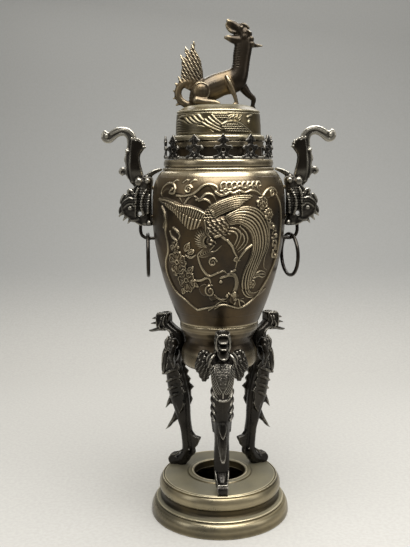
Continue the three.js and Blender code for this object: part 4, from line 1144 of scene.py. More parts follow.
# %% Lumps, limbs and plates
class Clay:
    """Closed lumps that become one casting. Its two sides are mirror images along one axis, mostly y."""

    def __init__(self, mirror_axis=1):
        self.shapes = []
        self.mirror = np.ones(3)
        self.mirror[mirror_axis] = -1

    def add(self, points, faces):
        self.shapes.append((np.asarray(points, float), faces))

    def both(self, kind, points, *size, **look):
        """The same kind of lump on both sides; its points are given for one."""
        for side in (self.mirror, 1):
            kind(np.asarray(points) * side, *size, **look)

    def rings(self, rings):
        """A closed skin over rings of equally many points."""
        rings = np.asarray(rings)
        rows, sides, _ = rings.shape
        points = rings.reshape(-1, 3)
        body = np.vstack([points, rings[0].mean(axis=0), rings[-1].mean(axis=0)])
        first, last = len(points), len(points) + 1
        caps = [[first, (k + 1) % sides, k] for k in range(sides)]
        start = (rows - 1) * sides
        caps += [[last, start + k, start + (k + 1) % sides] for k in range(sides)]
        faces = [*tube_quads(rows, sides, closed=False).tolist(), *caps]
        a, b, c = (body[[face[k] for face in faces]] for k in range(3))
        if np.einsum("ij,ij->i", a - body.mean(axis=0), np.cross(b - a, c - a)).sum() < 0:
            faces = [face[::-1] for face in faces]
        self.add(body, faces)

    def loft(self, sections, sides=20, steps=4):
        """An oval body; a section runs from (x0, z0) to (x1, z1), is w thick each way and lies at y."""
        full = smooth([[*section, 0.0] if len(section) == 5 else section for section in sections], steps)
        turn = round_steps(sides)
        x0, z0, x1, z1, w, y = (full[:, k:k + 1] for k in range(6))
        share = 0.5 - 0.5 * np.cos(turn)
        self.rings(np.stack([x0 + (x1 - x0) * share, y + w * np.sin(turn), z0 + (z1 - z0) * share], axis=2))

    def limb(self, path, radii, flat=1.0, sides=14, steps=4):
        """A rounded bar along a path of (x, z) or (x, y, z) points; flat thins or widens it in y."""
        path = [(p[0], 0.0, p[1]) if len(p) == 2 else p for p in path]
        radii = [radii] * len(path) if np.isscalar(radii) else radii
        line = smooth(np.column_stack([path, radii]), steps)
        line, size = line[:, :3], np.maximum(line[:, 3], 0.15)
        ahead = np.gradient(line, axis=0)
        ahead /= np.linalg.norm(ahead, axis=1)[:, None]
        line = np.vstack([line[0] - 0.8 * size[0] * ahead[0], line[0] - 0.5 * size[0] * ahead[0], line,
                          line[-1] + 0.5 * size[-1] * ahead[-1], line[-1] + 0.8 * size[-1] * ahead[-1]])
        size = np.concatenate([[0.45 * size[0], 0.84 * size[0]], size, [0.84 * size[-1], 0.45 * size[-1]]])
        ahead = np.vstack([ahead[:1], ahead[:1], ahead, ahead[-1:], ahead[-1:]])
        across = np.tile([0.0, 1.0, 0.0], (len(line), 1))
        across[np.abs(ahead[:, 1]) > 0.9] = (1.0, 0.0, 0.0)
        side = np.cross(ahead, across)
        side /= np.linalg.norm(side, axis=1)[:, None]
        other = np.cross(side, ahead)
        turn = round_steps(sides)[:, None]
        self.rings(line[:, None] + size[:, None, None] * (
            side[:, None] * np.cos(turn) + flat * other[:, None] * np.sin(turn)
        ))

    def ball(self, centre, radii):
        """An egg; one radius, or one for each of x, y and z."""
        centre, radii = np.array(centre, float), np.ones(3) * radii
        steps = np.linspace(-0.5, 0.5, 10)[1:-1] * math.pi
        self.rings([[centre + radii * (math.cos(s) * math.cos(t), math.cos(s) * math.sin(t), math.sin(s))
                     for t in round_steps(16)] for s in steps])

    def plate(self, outline, low, high, steps=4):
        """A flat plate with a curved outline in x and z, between two values of y."""
        outline = smooth(outline, steps, closed=True) if steps > 1 else np.array(outline, float)
        points, faces = prism(*(np.insert(outline, 1, y, axis=1) for y in (low, high)))
        x, z = outline.T
        area = (x * np.roll(z, -1) - np.roll(x, -1) * z).sum()
        self.add(points, [face[::-1] for face in faces] if area > 0 else faces)

    def beads(self, path, count, first, last):
        """A row of beads along a path of (x, y, z) points, from the first radius to the last."""
        curve = bpy.data.curves.new("row", "CURVE")
        curve.dimensions = "3D"
        line = smooth(path)
        spline = curve.splines.new("POLY")
        spline.points.add(len(line) - 1)
        spline.points.foreach_set("co", np.insert(line * MM, 3, 1, axis=1).ravel())
        self.add(*BEADS.made_of(placed("row", curve), {
            "Count": count, "First radius": first * MM, "Last radius": last * MM,
        }))

    def fused(self, voxel=0.6, soften=2, holes=()):
        """One skin over all the lumps, less round holes that are given as (path, radius)."""
        helpers = [helper_of("lump", self.shapes)]

        def step(kind, **settings):
            modifier = helpers[0].modifiers.new(kind, kind)
            for key, value in settings.items():
                setattr(modifier, key, value)

        step("REMESH", mode="VOXEL", voxel_size=voxel * MM)
        if holes:
            drill = Clay()
            for path, radius in holes:
                drill.limb(path, radius)
            helpers.append(helper_of("holes", drill.shapes))
            step("BOOLEAN", object=helpers[1])
            step("REMESH", mode="VOXEL", voxel_size=voxel * MM)
        step("SMOOTH", factor=0.5, iterations=soften)
        return taken(*helpers)


def spun(points, degrees):
    """Points turned about the axis."""
    angle = math.radians(degrees)
    x, y = points[:, 0], points[:, 1]
    return np.stack([
        x * math.cos(angle) - y * math.sin(angle), x * math.sin(angle) + y * math.cos(angle), points[:, 2],
    ], axis=1)


def scale_marks(u, v, size):
    """Raised rims of overlapping scales over two coordinates, from 0 to 1."""
    row = np.floor(v / size)
    u = u / size + 0.5 * (row % 2)
    u, v = u - np.floor(u) - 0.5, v / size - row
    return np.exp(-((np.hypot(u, v) - 0.5) / 0.16) ** 2)


# %% [markdown]
# ### Legs
#
# Each leg is a fantastic creature: an open-beaked head that looks outward, a curved neck, a chest with a
# scaly shield, two short hanging wings, saw-toothed fins along the inner side, a slim shank with two
# pointed leaves, a heel spur and a foot like a rolled strap. It is drawn once, standing on the x axis, and
# turned to its place.

# %% One leg
def across(half):
    """A path that goes on as its own mirror image, from one side over to the other."""
    return [*half, *[(x, -y, z) for x, y, z in half[-2::-1]]]


def leg_clay():
    leg = Clay()
    # from the shank up through the chest to the neck, then the shield on the chest and its lower border
    leg.loft([[43, 43, 50.6, 44, 6.4], [38.6, 48.6, 48.8, 51, 7.2], [33.8, 56, 46.2, 58, 7.9],
              [32.8, 64, 45.8, 65, 8.1], [34, 73, 46.4, 74, 8.2], [35.4, 84, 48, 84, 7.9],
              [36.6, 94, 51.8, 94, 7.6], [36.9, 104, 55.4, 104, 7.9], [37.2, 112, 58.2, 111, 8.3],
              [38, 120, 61.2, 118, 8.9], [39.6, 128, 63, 127, 9.4], [41.6, 136, 64.6, 136, 9.8],
              [44, 144, 65.2, 145, 10], [46.6, 152.5, 64.8, 157, 10], [47.4, 161, 64, 167, 9.8],
              [45, 169, 61, 174, 9], [43, 178, 57.8, 180, 7.4], [42.6, 187, 56.4, 186.4, 6.8],
              [46, 194.8, 59, 191, 6.6], [54, 200, 65, 195, 6.8], [60.4, 205, 69, 196, 7]], sides=24)
    leg.loft([[54, 181, 58.4, 181, 6], [54, 176.5, 63.4, 177, 10.2], [57, 169, 67, 169.6, 11.2],
              [59, 161, 68.4, 161, 10.6], [61, 152.6, 68.8, 152.6, 9.2], [62.6, 147.4, 69, 147.6, 7.6],
              [64.6, 143.8, 68.6, 144, 5.6]], sides=24)
    leg.limb(across([(66, -7, 147.4), (68.4, -5, 144.8), (69.4, 0, 143.8)]), 1.3)
    # the head: skull, flat crown with a rim, the border of the mouth, then beak, tongue and lower jaw
    leg.loft([[60.2, 212, 61.2, 198.6, 5.2], [62.6, 213, 65, 195.6, 6.8], [68, 213, 70, 195, 7],
              [72, 212.4, 73, 196, 6.8], [73.6, 210.6, 74.2, 198.6, 5.2]], sides=24)
    leg.plate([(61.6, 213), (73.4, 212.4), (73.8, 208), (66, 204), (61.6, 206)], -6.2, 6.2, steps=1)
    rim = [(73.6, -5.8, 212.4), (70, -6.6, 212.9), (66, -6.2, 213.3), (62.2, -3.6, 213.4), (61.4, 0, 213.4)]
    leg.limb(across(rim), 0.9)
    mouth = [(75.2, 0, 212.4), (75, 4.6, 211.2), (74.6, 6.3, 206), (74.6, 6.1, 200), (75, 4.4, 195.8),
             (76, 0, 193.8)]
    leg.limb(across(mouth), 1.05)
    leg.loft([[66, 204, 66, 209, 5], [74, 204.8, 74, 208.8, 5], [79.6, 205, 79.6, 208, 4.6],
              [82.6, 204.8, 82.8, 206.2, 3.2]], sides=16)
    leg.loft([[66, 200, 66, 203, 4.6], [74, 199.6, 74, 202.8, 4.6], [80.6, 199.2, 80.8, 201.8, 4.2],
              [84.6, 199, 84.8, 200.4, 2.8]], sides=16)
    leg.loft([[66, 193, 66, 198.6, 6], [74, 192.2, 74, 197.2, 6], [80, 190.8, 80.4, 194.8, 5.2],
              [85, 190, 85.2, 192.8, 3.8], [88.2, 190.6, 88.4, 191.9, 1.6]], sides=16)
    # eyes, cheeks and the mane behind them
    leg.both(leg.ball, (68, 6.6, 208), (1.9, 1.4, 2.2))
    leg.both(leg.limb, [(64, 6.6, 210), (65.4, 7.4, 204), (64, 6.8, 199)], [0.9, 1.1, 0.6])
    leg.both(leg.limb, [(69, 6.8, 204), (71, 7, 200), (70, 6.4, 196)], [0.8, 1, 0.6])
    leg.both(leg.limb, [(66, 6.2, 198), (60, 6.6, 196), (54.6, 7, 191.6), (52, 7.4, 186), (53, 8.6, 178)],
             [0.9, 1.3, 1.4, 1.4, 1.0])
    leg.both(leg.limb, [(57, 6.4, 192.6), (54.4, 7.6, 187), (55.6, 8.8, 181), (59.6, 9.4, 175)],
             [1.2, 1.8, 1.8, 1.0])
    leg.both(leg.ball, (50.4, 10.4, 180), (4, 6, 8))

    def swept(y):
        """How far out the wing lies at a distance sideways: it sweeps back round the cup."""
        return 52 - 0.364 * y

    leg.both(leg.ball, (swept(15), 15, 174), (4.4, 8, 11))
    leg.both(leg.ball, (swept(17.6), 17.6, 184.5), (4.6, 6.6, 6.4))
    feather_tips = ((12.8, 165.6), (14.8, 161.6), (16.8, 158.9), (18.9, 158.7), (20.9, 161.8), (22.8, 167))
    for k, (y, z) in enumerate(feather_tips):
        root, middle = 10.6 + 2.3 * k, 11.6 + 2.6 * k
        path = [(swept(root), root, 182), (swept(middle) + 2, middle, 172), (swept(y) + 1, y, z)]
        leg.both(leg.limb, path, [3, 2.9, 1.5])
    knob = [(12.6, 186), (17.4, 190), (22.4, 186.4), (22.4, 181), (17.4, 178.6), (13, 181.6)]
    leg.both(leg.beads, [(swept(y) + 4.4, y, z) for y, z in knob], 9, 1.9, 1.3)
    leg.both(leg.ball, (swept(17.4) + 5.2, 17.4, 184.2), 2.2)
    # the saw-toothed fins, each turned a little outward
    saw = [(50, 161), (44.3, 156.4), (46.6, 152.2), (42.2, 147.6), (44.3, 143.4), (39.9, 138.8),
           (41.8, 134.6), (36.5, 129.6), (40, 125.6), (39.8, 119), (38, 115.3), (40.6, 109), (45, 103),
           (49, 112), (55, 138), (58, 162)]
    for side in (-1, 1):
        leg.plate(saw, -1.7, 1.7, steps=1)
        points, faces = leg.shapes.pop()
        leg.add(spun(points - (52, 0, 0), -12 * side) + (52, 6.4 * side, 0), faces)
    # shoulders, and tufts down the chest's edge
    leg.both(leg.ball, (54, 11, 181), (5, 5.4, 8.4))
    leg.both(leg.limb, [(58, 8, 188), (60, 11.6, 184), (58.6, 12.6, 177), (60, 10.6, 171)],
             [1.2, 1.6, 1.5, 0.9])
    leg.both(leg.limb, [(57, 11, 190), (57, 14.6, 185), (55.4, 14.4, 178)], [0.9, 1.3, 1.1])
    for z, r in ((150, 57), (141, 55.6), (132, 54), (123.6, 51.6)):
        leg.both(leg.limb, [(r - 8, 8.6, z + 3), (r, 10, z), (r + 6, 8, z - 4)], [1.6, 2.2, 1.2])
    # the two pointed leaves and a knob between them, the heel spur, and the foot with its roll
    leg.loft([[54, 127, 60, 128, 3.6], [55, 120, 62.4, 119, 4.4], [58.4, 114, 65.2, 112, 4.4],
              [62.8, 108.4, 67, 106.6, 2.8], [67.4, 103.8, 68.8, 103.2, 0.8]])
    leg.loft([[46, 106, 54, 108, 4.4], [48.4, 98, 57.2, 99, 5], [54, 91, 60.6, 91.6, 4.4],
              [58.6, 87, 64.2, 85.6, 3.6], [62.4, 82.4, 66.8, 80.8, 2.8], [67, 79, 69.4, 78, 1.5],
              [70.6, 77.4, 71.2, 77, 0.5]])
    leg.ball((59.8, 0, 115), (4, 3.4, 6))
    leg.plate([(38, 88), (34.6, 81), (31, 77), (24.2, 75.6), (26.6, 70), (28.8, 65), (31.4, 62), (31, 57.4),
               (35, 52.4), (42, 56)], -2.8, 2.8)
    leg.loft([[33, 58, 44, 63, 7.2], [35.4, 52, 46.4, 59, 7.4], [39, 45.6, 50, 54.4, 7],
              [45, 40.2, 53, 51.6, 6.2], [50, 39.4, 57, 50.2, 5.6]])
    turn = round_steps(24)
    leg.plate(np.stack([56.8 + 6 * np.cos(turn), 45.6 + 6 * np.sin(turn)], axis=1), -5.6, 5.6, steps=1)
    leg.limb([(59.6, -4.6, 51.2), (59.8, 0, 51.3), (59.6, 4.6, 51.2)], 0.9)
    leg.both(leg.limb, [(34.6, 6.6, 62), (44, 6.8, 60), (52, 5.8, 53.4), (58, 5, 51.4)], [0.9, 1, 0.9, 0.7])
    leg.limb([(46, 31), (46, 46)], 3.4)
    return leg


FLUTES, BARBS, GROOVE, FUR = 0.4, 0.22, 0.7, 0.25  # how high or deep each mark is, in millimetres


def tool_leg(points, normals):
    """Scales and two borders on the chest's shield, flutes on the wings and a groove down the foot."""
    x, y, z = points.T
    side = np.abs(y)
    # the shield: where it lies, its inner and outer border, cross-hatching within and herringbone between
    front = ramp(normals[:, 0], 0.1, 0.45) * ramp(x, 56, 60) * ramp(z, 145, 147) * ramp(181 - z, 0, 4)
    inner = np.interp(z, [151, 155, 161, 166, 172, 180], [0, 2.4, 5, 6.6, 7.6, 7.4])
    outer = np.interp(z, [146, 150, 154, 161, 172, 180], [4.4, 6.6, 8.2, 10, 11.2, 11.4])
    borders = np.exp(-((side - inner) / 0.55) ** 2) + np.exp(-((side - outer) / 0.6) ** 2)
    within = ramp(inner - side, 0.2, 1)
    bands = ramp(side - inner, 0.4, 1.2) * ramp(outer - side, 0.2, 1) * ramp(z, 149, 152)
    cross = 0.5 + 0.5 * np.cos((z + 1.1 * side) * 2.3) * np.cos((z - 1.1 * side) * 2.3)
    herring = 0.5 + 0.5 * np.cos((z + 1.6 * side) * 2.1)
    shield = 1.2 * borders + 1.3 * within * cross + 1.0 * bands * herring
    # the wings' flutes and barbs, the groove of the foot and the fur on the crown
    wings = ramp(side, 10.6, 12) * ramp(z, 158, 162) * ramp(181 - z, 0, 5) * ramp(normals[:, 0], -0.2, 0.3)
    flutes = np.cos(np.arctan2(side - 9, 193 - z) * 44)
    barbs = np.cos((z + 0.9 * side) * 2.6)
    groove = np.exp(-(side / 1.8) ** 2) * ramp(normals[:, 0], 0.3, 0.7)
    groove = groove * ramp(80 - z, 0, 4) * ramp(z, 52, 56)
    fur = ramp(normals[:, 2], 0.5, 0.8) * ramp(z, 210, 212) * np.cos(x * 2.2) * np.cos(y * 2.2)
    height = front * shield + wings * (FLUTES * flutes + BARBS * barbs) - GROOVE * groove + FUR * fur
    return points + normals * height[:, None]


LEG_TURNS = {"leg_front": -87, "leg_right": 33, "leg_left": 153}
points, normals, faces = leg_clay().fused(0.55, 2)
points = tool_leg(points, normals)
sheltered = 0.55 + 0.45 * ramp(points[:, 0], 50, 58)  # less wear on the side under the cup
for node, turn in LEG_TURNS.items():
    cast(node + "_casting", spun(points, turn), faces, "vessel", [node], passes=8, reach=0.32,
         calm=sheltered)

# %% [markdown]
# ### Handles
#
# The handles are a pair: a mask-like head with a hooked beak against the vase, above it a hollow leaf
# like a gutter, and behind that a flat scrolled plate. One is drawn on the x axis and turned half round
# for the other side.

# %% One handle
def handle_clay():
    handle = Clay()
    # the mask: a plate to the wall with a full head over it, and the arm on to the neck of the vase
    handle.plate([(68.6, 314), (70.6, 312.8), (76, 312.8), (82, 313.4), (86.4, 315.6), (90, 318.4),
                  (94, 320.6), (99, 324), (101.2, 330), (100.6, 336), (97, 343), (92.4, 348.6), (86, 354.6),
                  (80, 361), (73, 364), (68.2, 362), (69.4, 350), (70.2, 336), (70.2, 322)], -4.6, 4.6)
    handle.loft([[69.4, 314, 82, 314.6, 6.4], [69.6, 324, 84, 323, 6.8], [69.6, 336, 86, 336, 7.6],
                 [69.6, 348, 85, 348, 8.2], [68.8, 356, 83.4, 357, 8.4], [68.8, 362, 79, 364, 7.0]],
                sides=24)
    handle.limb([(59.6, 371), (66, 368.6), (72, 365), (78, 361)], [1.6, 2.2, 2.8, 3.6], flat=1.7)
    handle.both(handle.limb, [(60.6, 2, 371.8), (66.6, 3.4, 370), (72.6, 4, 367)], 0.9)
    # muzzle, hooked nose, teeth and tongue, then the folds of the snout, the eye, a crest and a curl
    handle.loft([[84, 343, 87, 316.8, 6.4], [89.6, 345.2, 93, 319.6, 6.6], [95, 342.6, 97.6, 322.6, 5.6],
                 [99.4, 338, 101.6, 326, 3.6]])
    handle.limb([(96, 334), (101, 331), (103.4, 327), (103.2, 324.6)], [4.2, 3, 1.7, 0.8])
    for x, z, tip_x, tip_z in ((99, 328, 104.4, 322.4), (95, 325, 100.2, 318), (91, 322, 95.2, 315)):
        handle.both(handle.limb, [(x, 2.2, z), (tip_x, 2.6, tip_z)], [2.8, 0.6])
    handle.limb([(83, 320), (88, 318.6), (92, 319.6), (91.6, 322)], [2.4, 2.4, 2.2, 1.6], flat=2.2)
    for rise in (0, 2.6, 5.2):
        handle.both(handle.limb, [(86, 6.8, 333 + rise), (91, 7, 336.6 + rise),
                                  (96.4 + 0.2 * rise, 5.4, 334 + rise),
                                  (100.4 + 0.2 * rise, 3, 329.4 + rise)], [1.1, 1.5, 1.4, 0.9])
    handle.both(handle.ball, (92, 6, 331.4), (2.6, 1.8, 2.2))
    handle.limb([(93, 341), (97, 345), (99.4, 343.4), (101.6, 339), (102.2, 336.4)], [2, 1.7, 1.7, 1.6, 1.2],
                flat=1.8)
    handle.both(handle.limb, [(86.7, 4, 341.8), (88.4, 5.2, 346.4), (91.2, 5.4, 350.2), (93.9, 5, 348.7),
                              (93, 4.6, 345.8)], [2.1, 2, 1.8, 1.6, 1.0])
    # three rows of the mane, ears and a knob below
    handle.both(handle.beads, [(75, 7.6, 350), (79, 8.4, 342), (80, 7.8, 333), (78, 7, 325)], 13, 1.35, 1.9)
    handle.both(handle.beads, [(83, 8, 352), (85.6, 8, 345), (86, 7, 338)], 8, 1.25, 1.8)
    handle.both(handle.beads, [(71.6, 7.4, 345), (73, 7.4, 336), (73.4, 7, 327)], 10, 1.2, 1.8)
    handle.both(handle.ball, (82.4, 7.4, 358.6), (4.2, 2.6, 4.2))
    handle.both(handle.ball, (73.2, 7.6, 359.6), (3, 2.4, 3))
    handle.both(handle.ball, (72.4, 5.6, 316), (2.4, 2, 2.4))
    # the gutter: two walls, a beaded rim and a back
    for side in (-1, 1):
        handle.loft([[76.6, 360, 90, 357, 3.4, side * 2], [78.6, 368, 90.8, 366, 2.4, side * 4.6],
                     [81.2, 378, 91.4, 376, 2.0, side * 6.4], [81.2, 386, 91.2, 387, 1.8, side * 7.2],
                     [76.8, 393, 90.2, 395, 1.6, side * 8], [77.4, 398.6, 89.2, 402, 1.3, side * 8.8]],
                    sides=16)
    handle.both(handle.beads, [(76.6, 8.4, 394), (78.4, 9.2, 399), (83.4, 9.4, 402.2), (88.6, 8.6, 403)], 6,
                1.3, 1.4)
    handle.loft([[84, 360, 92, 357, 5], [86, 368, 93.4, 366, 6], [88.2, 378, 93.6, 376, 7.4],
                 [87.8, 388, 92.4, 387, 8.2], [85, 396, 91, 396, 8.4], [84.6, 402, 88, 402, 6.4]])
    # the scrolled plate behind it, its raised edges, a collar and the bud with its hook
    scroll = [(84.4, 352), (90.6, 356.6), (93.6, 362.4), (96.6, 366.4), (96.6, 373), (95.6, 376),
              (97.6, 380), (97, 384.6), (95, 386.6), (95.8, 389.6), (94.6, 393), (93.8, 398), (94.4, 403),
              (97.8, 405.6), (102.4, 405), (107, 401.6), (110.6, 398.8), (115.4, 398.2), (119.6, 401),
              (120.8, 405.4), (119.2, 409.6), (116, 411.4), (113.4, 409.2), (110.4, 411), (105.4, 413.8),
              (98.4, 414.8), (91.4, 413), (86.8, 408.6), (84.4, 403.6), (85.4, 398), (87.6, 390), (88, 378),
              (86, 366)]
    handle.plate(scroll, -2.9, 2.9, steps=3)
    handle.both(handle.limb, [(93.6, 2.7, 362), (95.4, 2.7, 373), (95.8, 2.7, 384), (93.4, 2.7, 396),
                              (94.6, 2.7, 405), (100, 2.7, 407.6), (107, 2.7, 404), (113, 2.7, 400.6),
                              (118.6, 2.7, 404), (117.4, 2.7, 408), (114.6, 2.7, 406.6)], 0.8)
    handle.both(handle.ball, (115.6, 2.4, 405.4), (2.6, 1.6, 2.6))
    handle.both(handle.limb, [(86.6, 2.7, 404), (92, 2.8, 409.8), (98.6, 2.8, 411.8), (105, 2.8, 410),
                              (110.4, 2.8, 407.4)], 0.8)
    handle.limb([(86, 388.6), (90, 389.8), (94.6, 390.4)], 2.2, flat=3.2)
    handle.limb([(86.7, 358), (92.5, 365), (95.9, 370), (99.4, 372), (102.2, 369), (99.9, 366)],
                [3.4, 2.6, 2.1, 2.0, 1.8, 1.4], flat=1.3)
    handle.limb([(98.6, 366.6), (97.4, 368.4), (98.8, 369.6)], [1.3, 1.1, 0.9], flat=1.6)
    handle.both(handle.ball, (90.4, 3.4, 370.4), (2.8, 1.8, 2.8))
    return handle


HANDLE_HOLES = (
    ([(81.9, -16, 325.6), (81.9, 0, 325.6), (81.9, 16, 325.6)], 2.3),
    ([(82, 305), (82, 316), (82, 320.6)], 1.95),
)
SCALE_SIZE, SCALE_HEIGHT = 2.6, 0.35
WALL_FOOT, WALL_TOP = 212, 369.7
INTO_WALL = 2.4  # how far a handle's root reaches into the wall

points, normals, faces = handle_clay().fused(0.6, 2, HANDLE_HOLES)
x, y, z = points.T
scaly = ramp(np.abs(y), 4, 6) * ramp(z, 328, 334) * ramp(354 - z, 0, 4) * ramp(92 - x, 0, 4)
points = points + normals * (SCALE_HEIGHT * scaly * scale_marks(x, z, SCALE_SIZE))[:, None]
x, y, z = points.T
inner = wall_radius(np.clip(z, WALL_FOOT, WALL_TOP)) - INTO_WALL
points[:, :2] *= np.where(z < WALL_TOP, np.maximum(inner / np.hypot(x, y), 1), 1)[:, None]
x, y, z = points.T
in_gutter = ramp(z, 366, 374) * ramp(91.4 - x, 0, 2) * ramp(402 - z, 0, 2)
handled = (0.16 + 0.24 * ramp(z, 362, 372)) * (1 - in_gutter)
for node, turn in (("handle_right", 0), ("handle_left", 180)):
    cast(node + "_casting", spun(points, turn), faces, "vessel", [node], passes=8, reach=0.4,
         rubbed=handled, stain=in_gutter)

# %% [markdown]
# ### Loops and rings
#
# Round wire. Both are tubes along a path, and they keep the places and turns that their CAD nodes have.

# %% Wire
def tube(path, radius, sides=16, closed=False):
    """Points and faces of a round wire along (x, y, z) points in one plane or nearly so."""
    line = np.asarray(path, float)
    ahead = (np.roll(line, -1, axis=0) - np.roll(line, 1, axis=0)) if closed else np.gradient(line, axis=0)
    ahead /= np.linalg.norm(ahead, axis=1)[:, None]
    flat = np.cross(line[len(line) // 3] - line[0], line[len(line) // 2] - line[0])
    flat /= np.linalg.norm(flat)
    side = np.cross(ahead, flat)
    turn = round_steps(sides)[:, None]
    rings = line[:, None] + radius * (side[:, None] * np.cos(turn) + flat * np.sin(turn))
    if closed:
        points = rings.reshape(-1, 3)
        return points, outward(points, tube_quads(len(line), sides))
    wire = Clay()
    wire.rings(rings)
    return joined(wire.shapes)


RING_WIRE, RING_RADIUS, LOOP_WIRE = 1.9, 21.75, 1.75
WIRE_FINISH = {"calm": 0.1, "stain": 0.6}  # hardly worn, and dark
for node, yaw in (("ring_left", 5), ("ring_right", 18)):
    low, high = (np.array(corner) / MM - (0, AXIS_Y / MM, 0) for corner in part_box(node))
    turn = round_steps(96)
    circle = np.stack([0 * turn, RING_RADIUS * np.cos(turn), RING_RADIUS * np.sin(turn)], axis=1)
    points, faces = tube(spun(circle, yaw) + (low + high) / 2, RING_WIRE, closed=True)
    cast(node + "_wire", points, faces, node, [node], reach=0.3, **WIRE_FINISH)

loop_path = smooth([(82, 0, 321), (82, 0, 313), (82, 0, 307), (80.4, 0, 302.4), (75.6, 0, 299.6),
                    (70, 0, 299.5), (64, 0, 299.5)], 8)
for node, turn in (("loop_right", 0), ("loop_left", 180)):
    points, faces = tube(spun(loop_path, turn), LOOP_WIRE)
    cast(node + "_wire", points, faces, "vessel", [node], reach=0.3, **WIRE_FINISH)

# %% [markdown]
# ### Crown
#
# Twelve pierced fleurs stand in a ring on the collar. One fleur is modelled in clay and bent to the
# ring's curve, and the second of the patterns above repeats it.

# %% One fleur, twelve times
FLEUR_COUNT, FLEUR_TURN, CROWN_RADIUS, CROWN_FOOT = 12, 5.0, 54.3, 381.4


def fleur_clay():
    fleur = Clay(mirror_axis=0)
    half = [(9.4, 0), (9.8, 1.6), (8.6, 3.4), (6.6, 3.8), (5.2, 5.6), (5.8, 7.6), (8, 8.4), (9.2, 10),
            (8.8, 12), (6.8, 12.6), (4.8, 11.8), (3.2, 13), (2.6, 14.8), (3.4, 16), (5.6, 16.9), (5.8, 18),
            (3.6, 20), (1.6, 22.2), (0.4, 23.6)]
    fleur.plate([*half, *[(-x, z) for x, z in half[::-1]]], -1.0, 1.0, steps=3)
    fleur.limb([(0, 12.4), (0, 16), (0, 20), (0, 22.8)], [1.4, 1.7, 1.6, 0.7])
    fleur.both(fleur.limb, [(1, -0.4, 13.4), (4.4, -0.6, 11.8), (7.4, -0.4, 12)], 1.3)
    fleur.both(fleur.ball, (7.8, -0.4, 10.4), (1.9, 1.9, 1.9))
    fleur.both(fleur.limb, [(2.4, -0.5, 6), (5.2, -0.5, 3), (8.6, -0.5, 1.9)], [1, 1.2, 1.5])
    fleur.both(fleur.limb, [(1, -0.4, 19.4), (4.8, -0.3, 17.4)], [1.1, 1.6])
    fleur.limb([(0, -0.2, 1), (0, -0.7, 3)], 1.6)
    return fleur


FLEUR_HOLE = ([(0, -6, 8.6), (0, 0, 8.6), (0, 6, 8.6)], 2.0)
points, _, faces = fleur_clay().fused(0.42, 1, [FLEUR_HOLE])
angle, reach = points[:, 0] / CROWN_RADIUS, CROWN_RADIUS - points[:, 1]
fleur = helper_of("fleur", [(np.stack([
    reach * np.sin(angle), -reach * np.cos(angle), CROWN_FOOT + np.maximum(points[:, 2], 0),
], axis=1), faces)])
print(f"one fleur: {len(faces)} faces")
points, faces = RING.made_of(fleur, {"Count": FLEUR_COUNT, "Turn": math.radians(FLEUR_TURN)})
cast("crown_fleurs", points, faces, "vessel", ["crown_gallery"], slot="dark_bronze", passes=5, reach=0.25)
crown_foot = moulding([(48.4, 381.5)], [(55.3, 381.5)], [(55.4, 383), (54.6, 383.6)], [(52.8, 383.4)],
                      [(52, 382.9)], [(48.4, 382.9)], pitch=0.7, ease=0.2)
cast("crown_band", *turned(crown_foot), "vessel", ["crown_gallery"], slot="dark_bronze")

# %% [markdown]
# ### The beast on the lid
#
# A slender horned beast crouches on its hind legs, its neck straight up and its jaws open to the sky. Its
# tail rolls into a ring and then rises in flames. It is drawn from the middle of the lid's top.

# %% Beast
BEAST_STRETCH = 1.0324


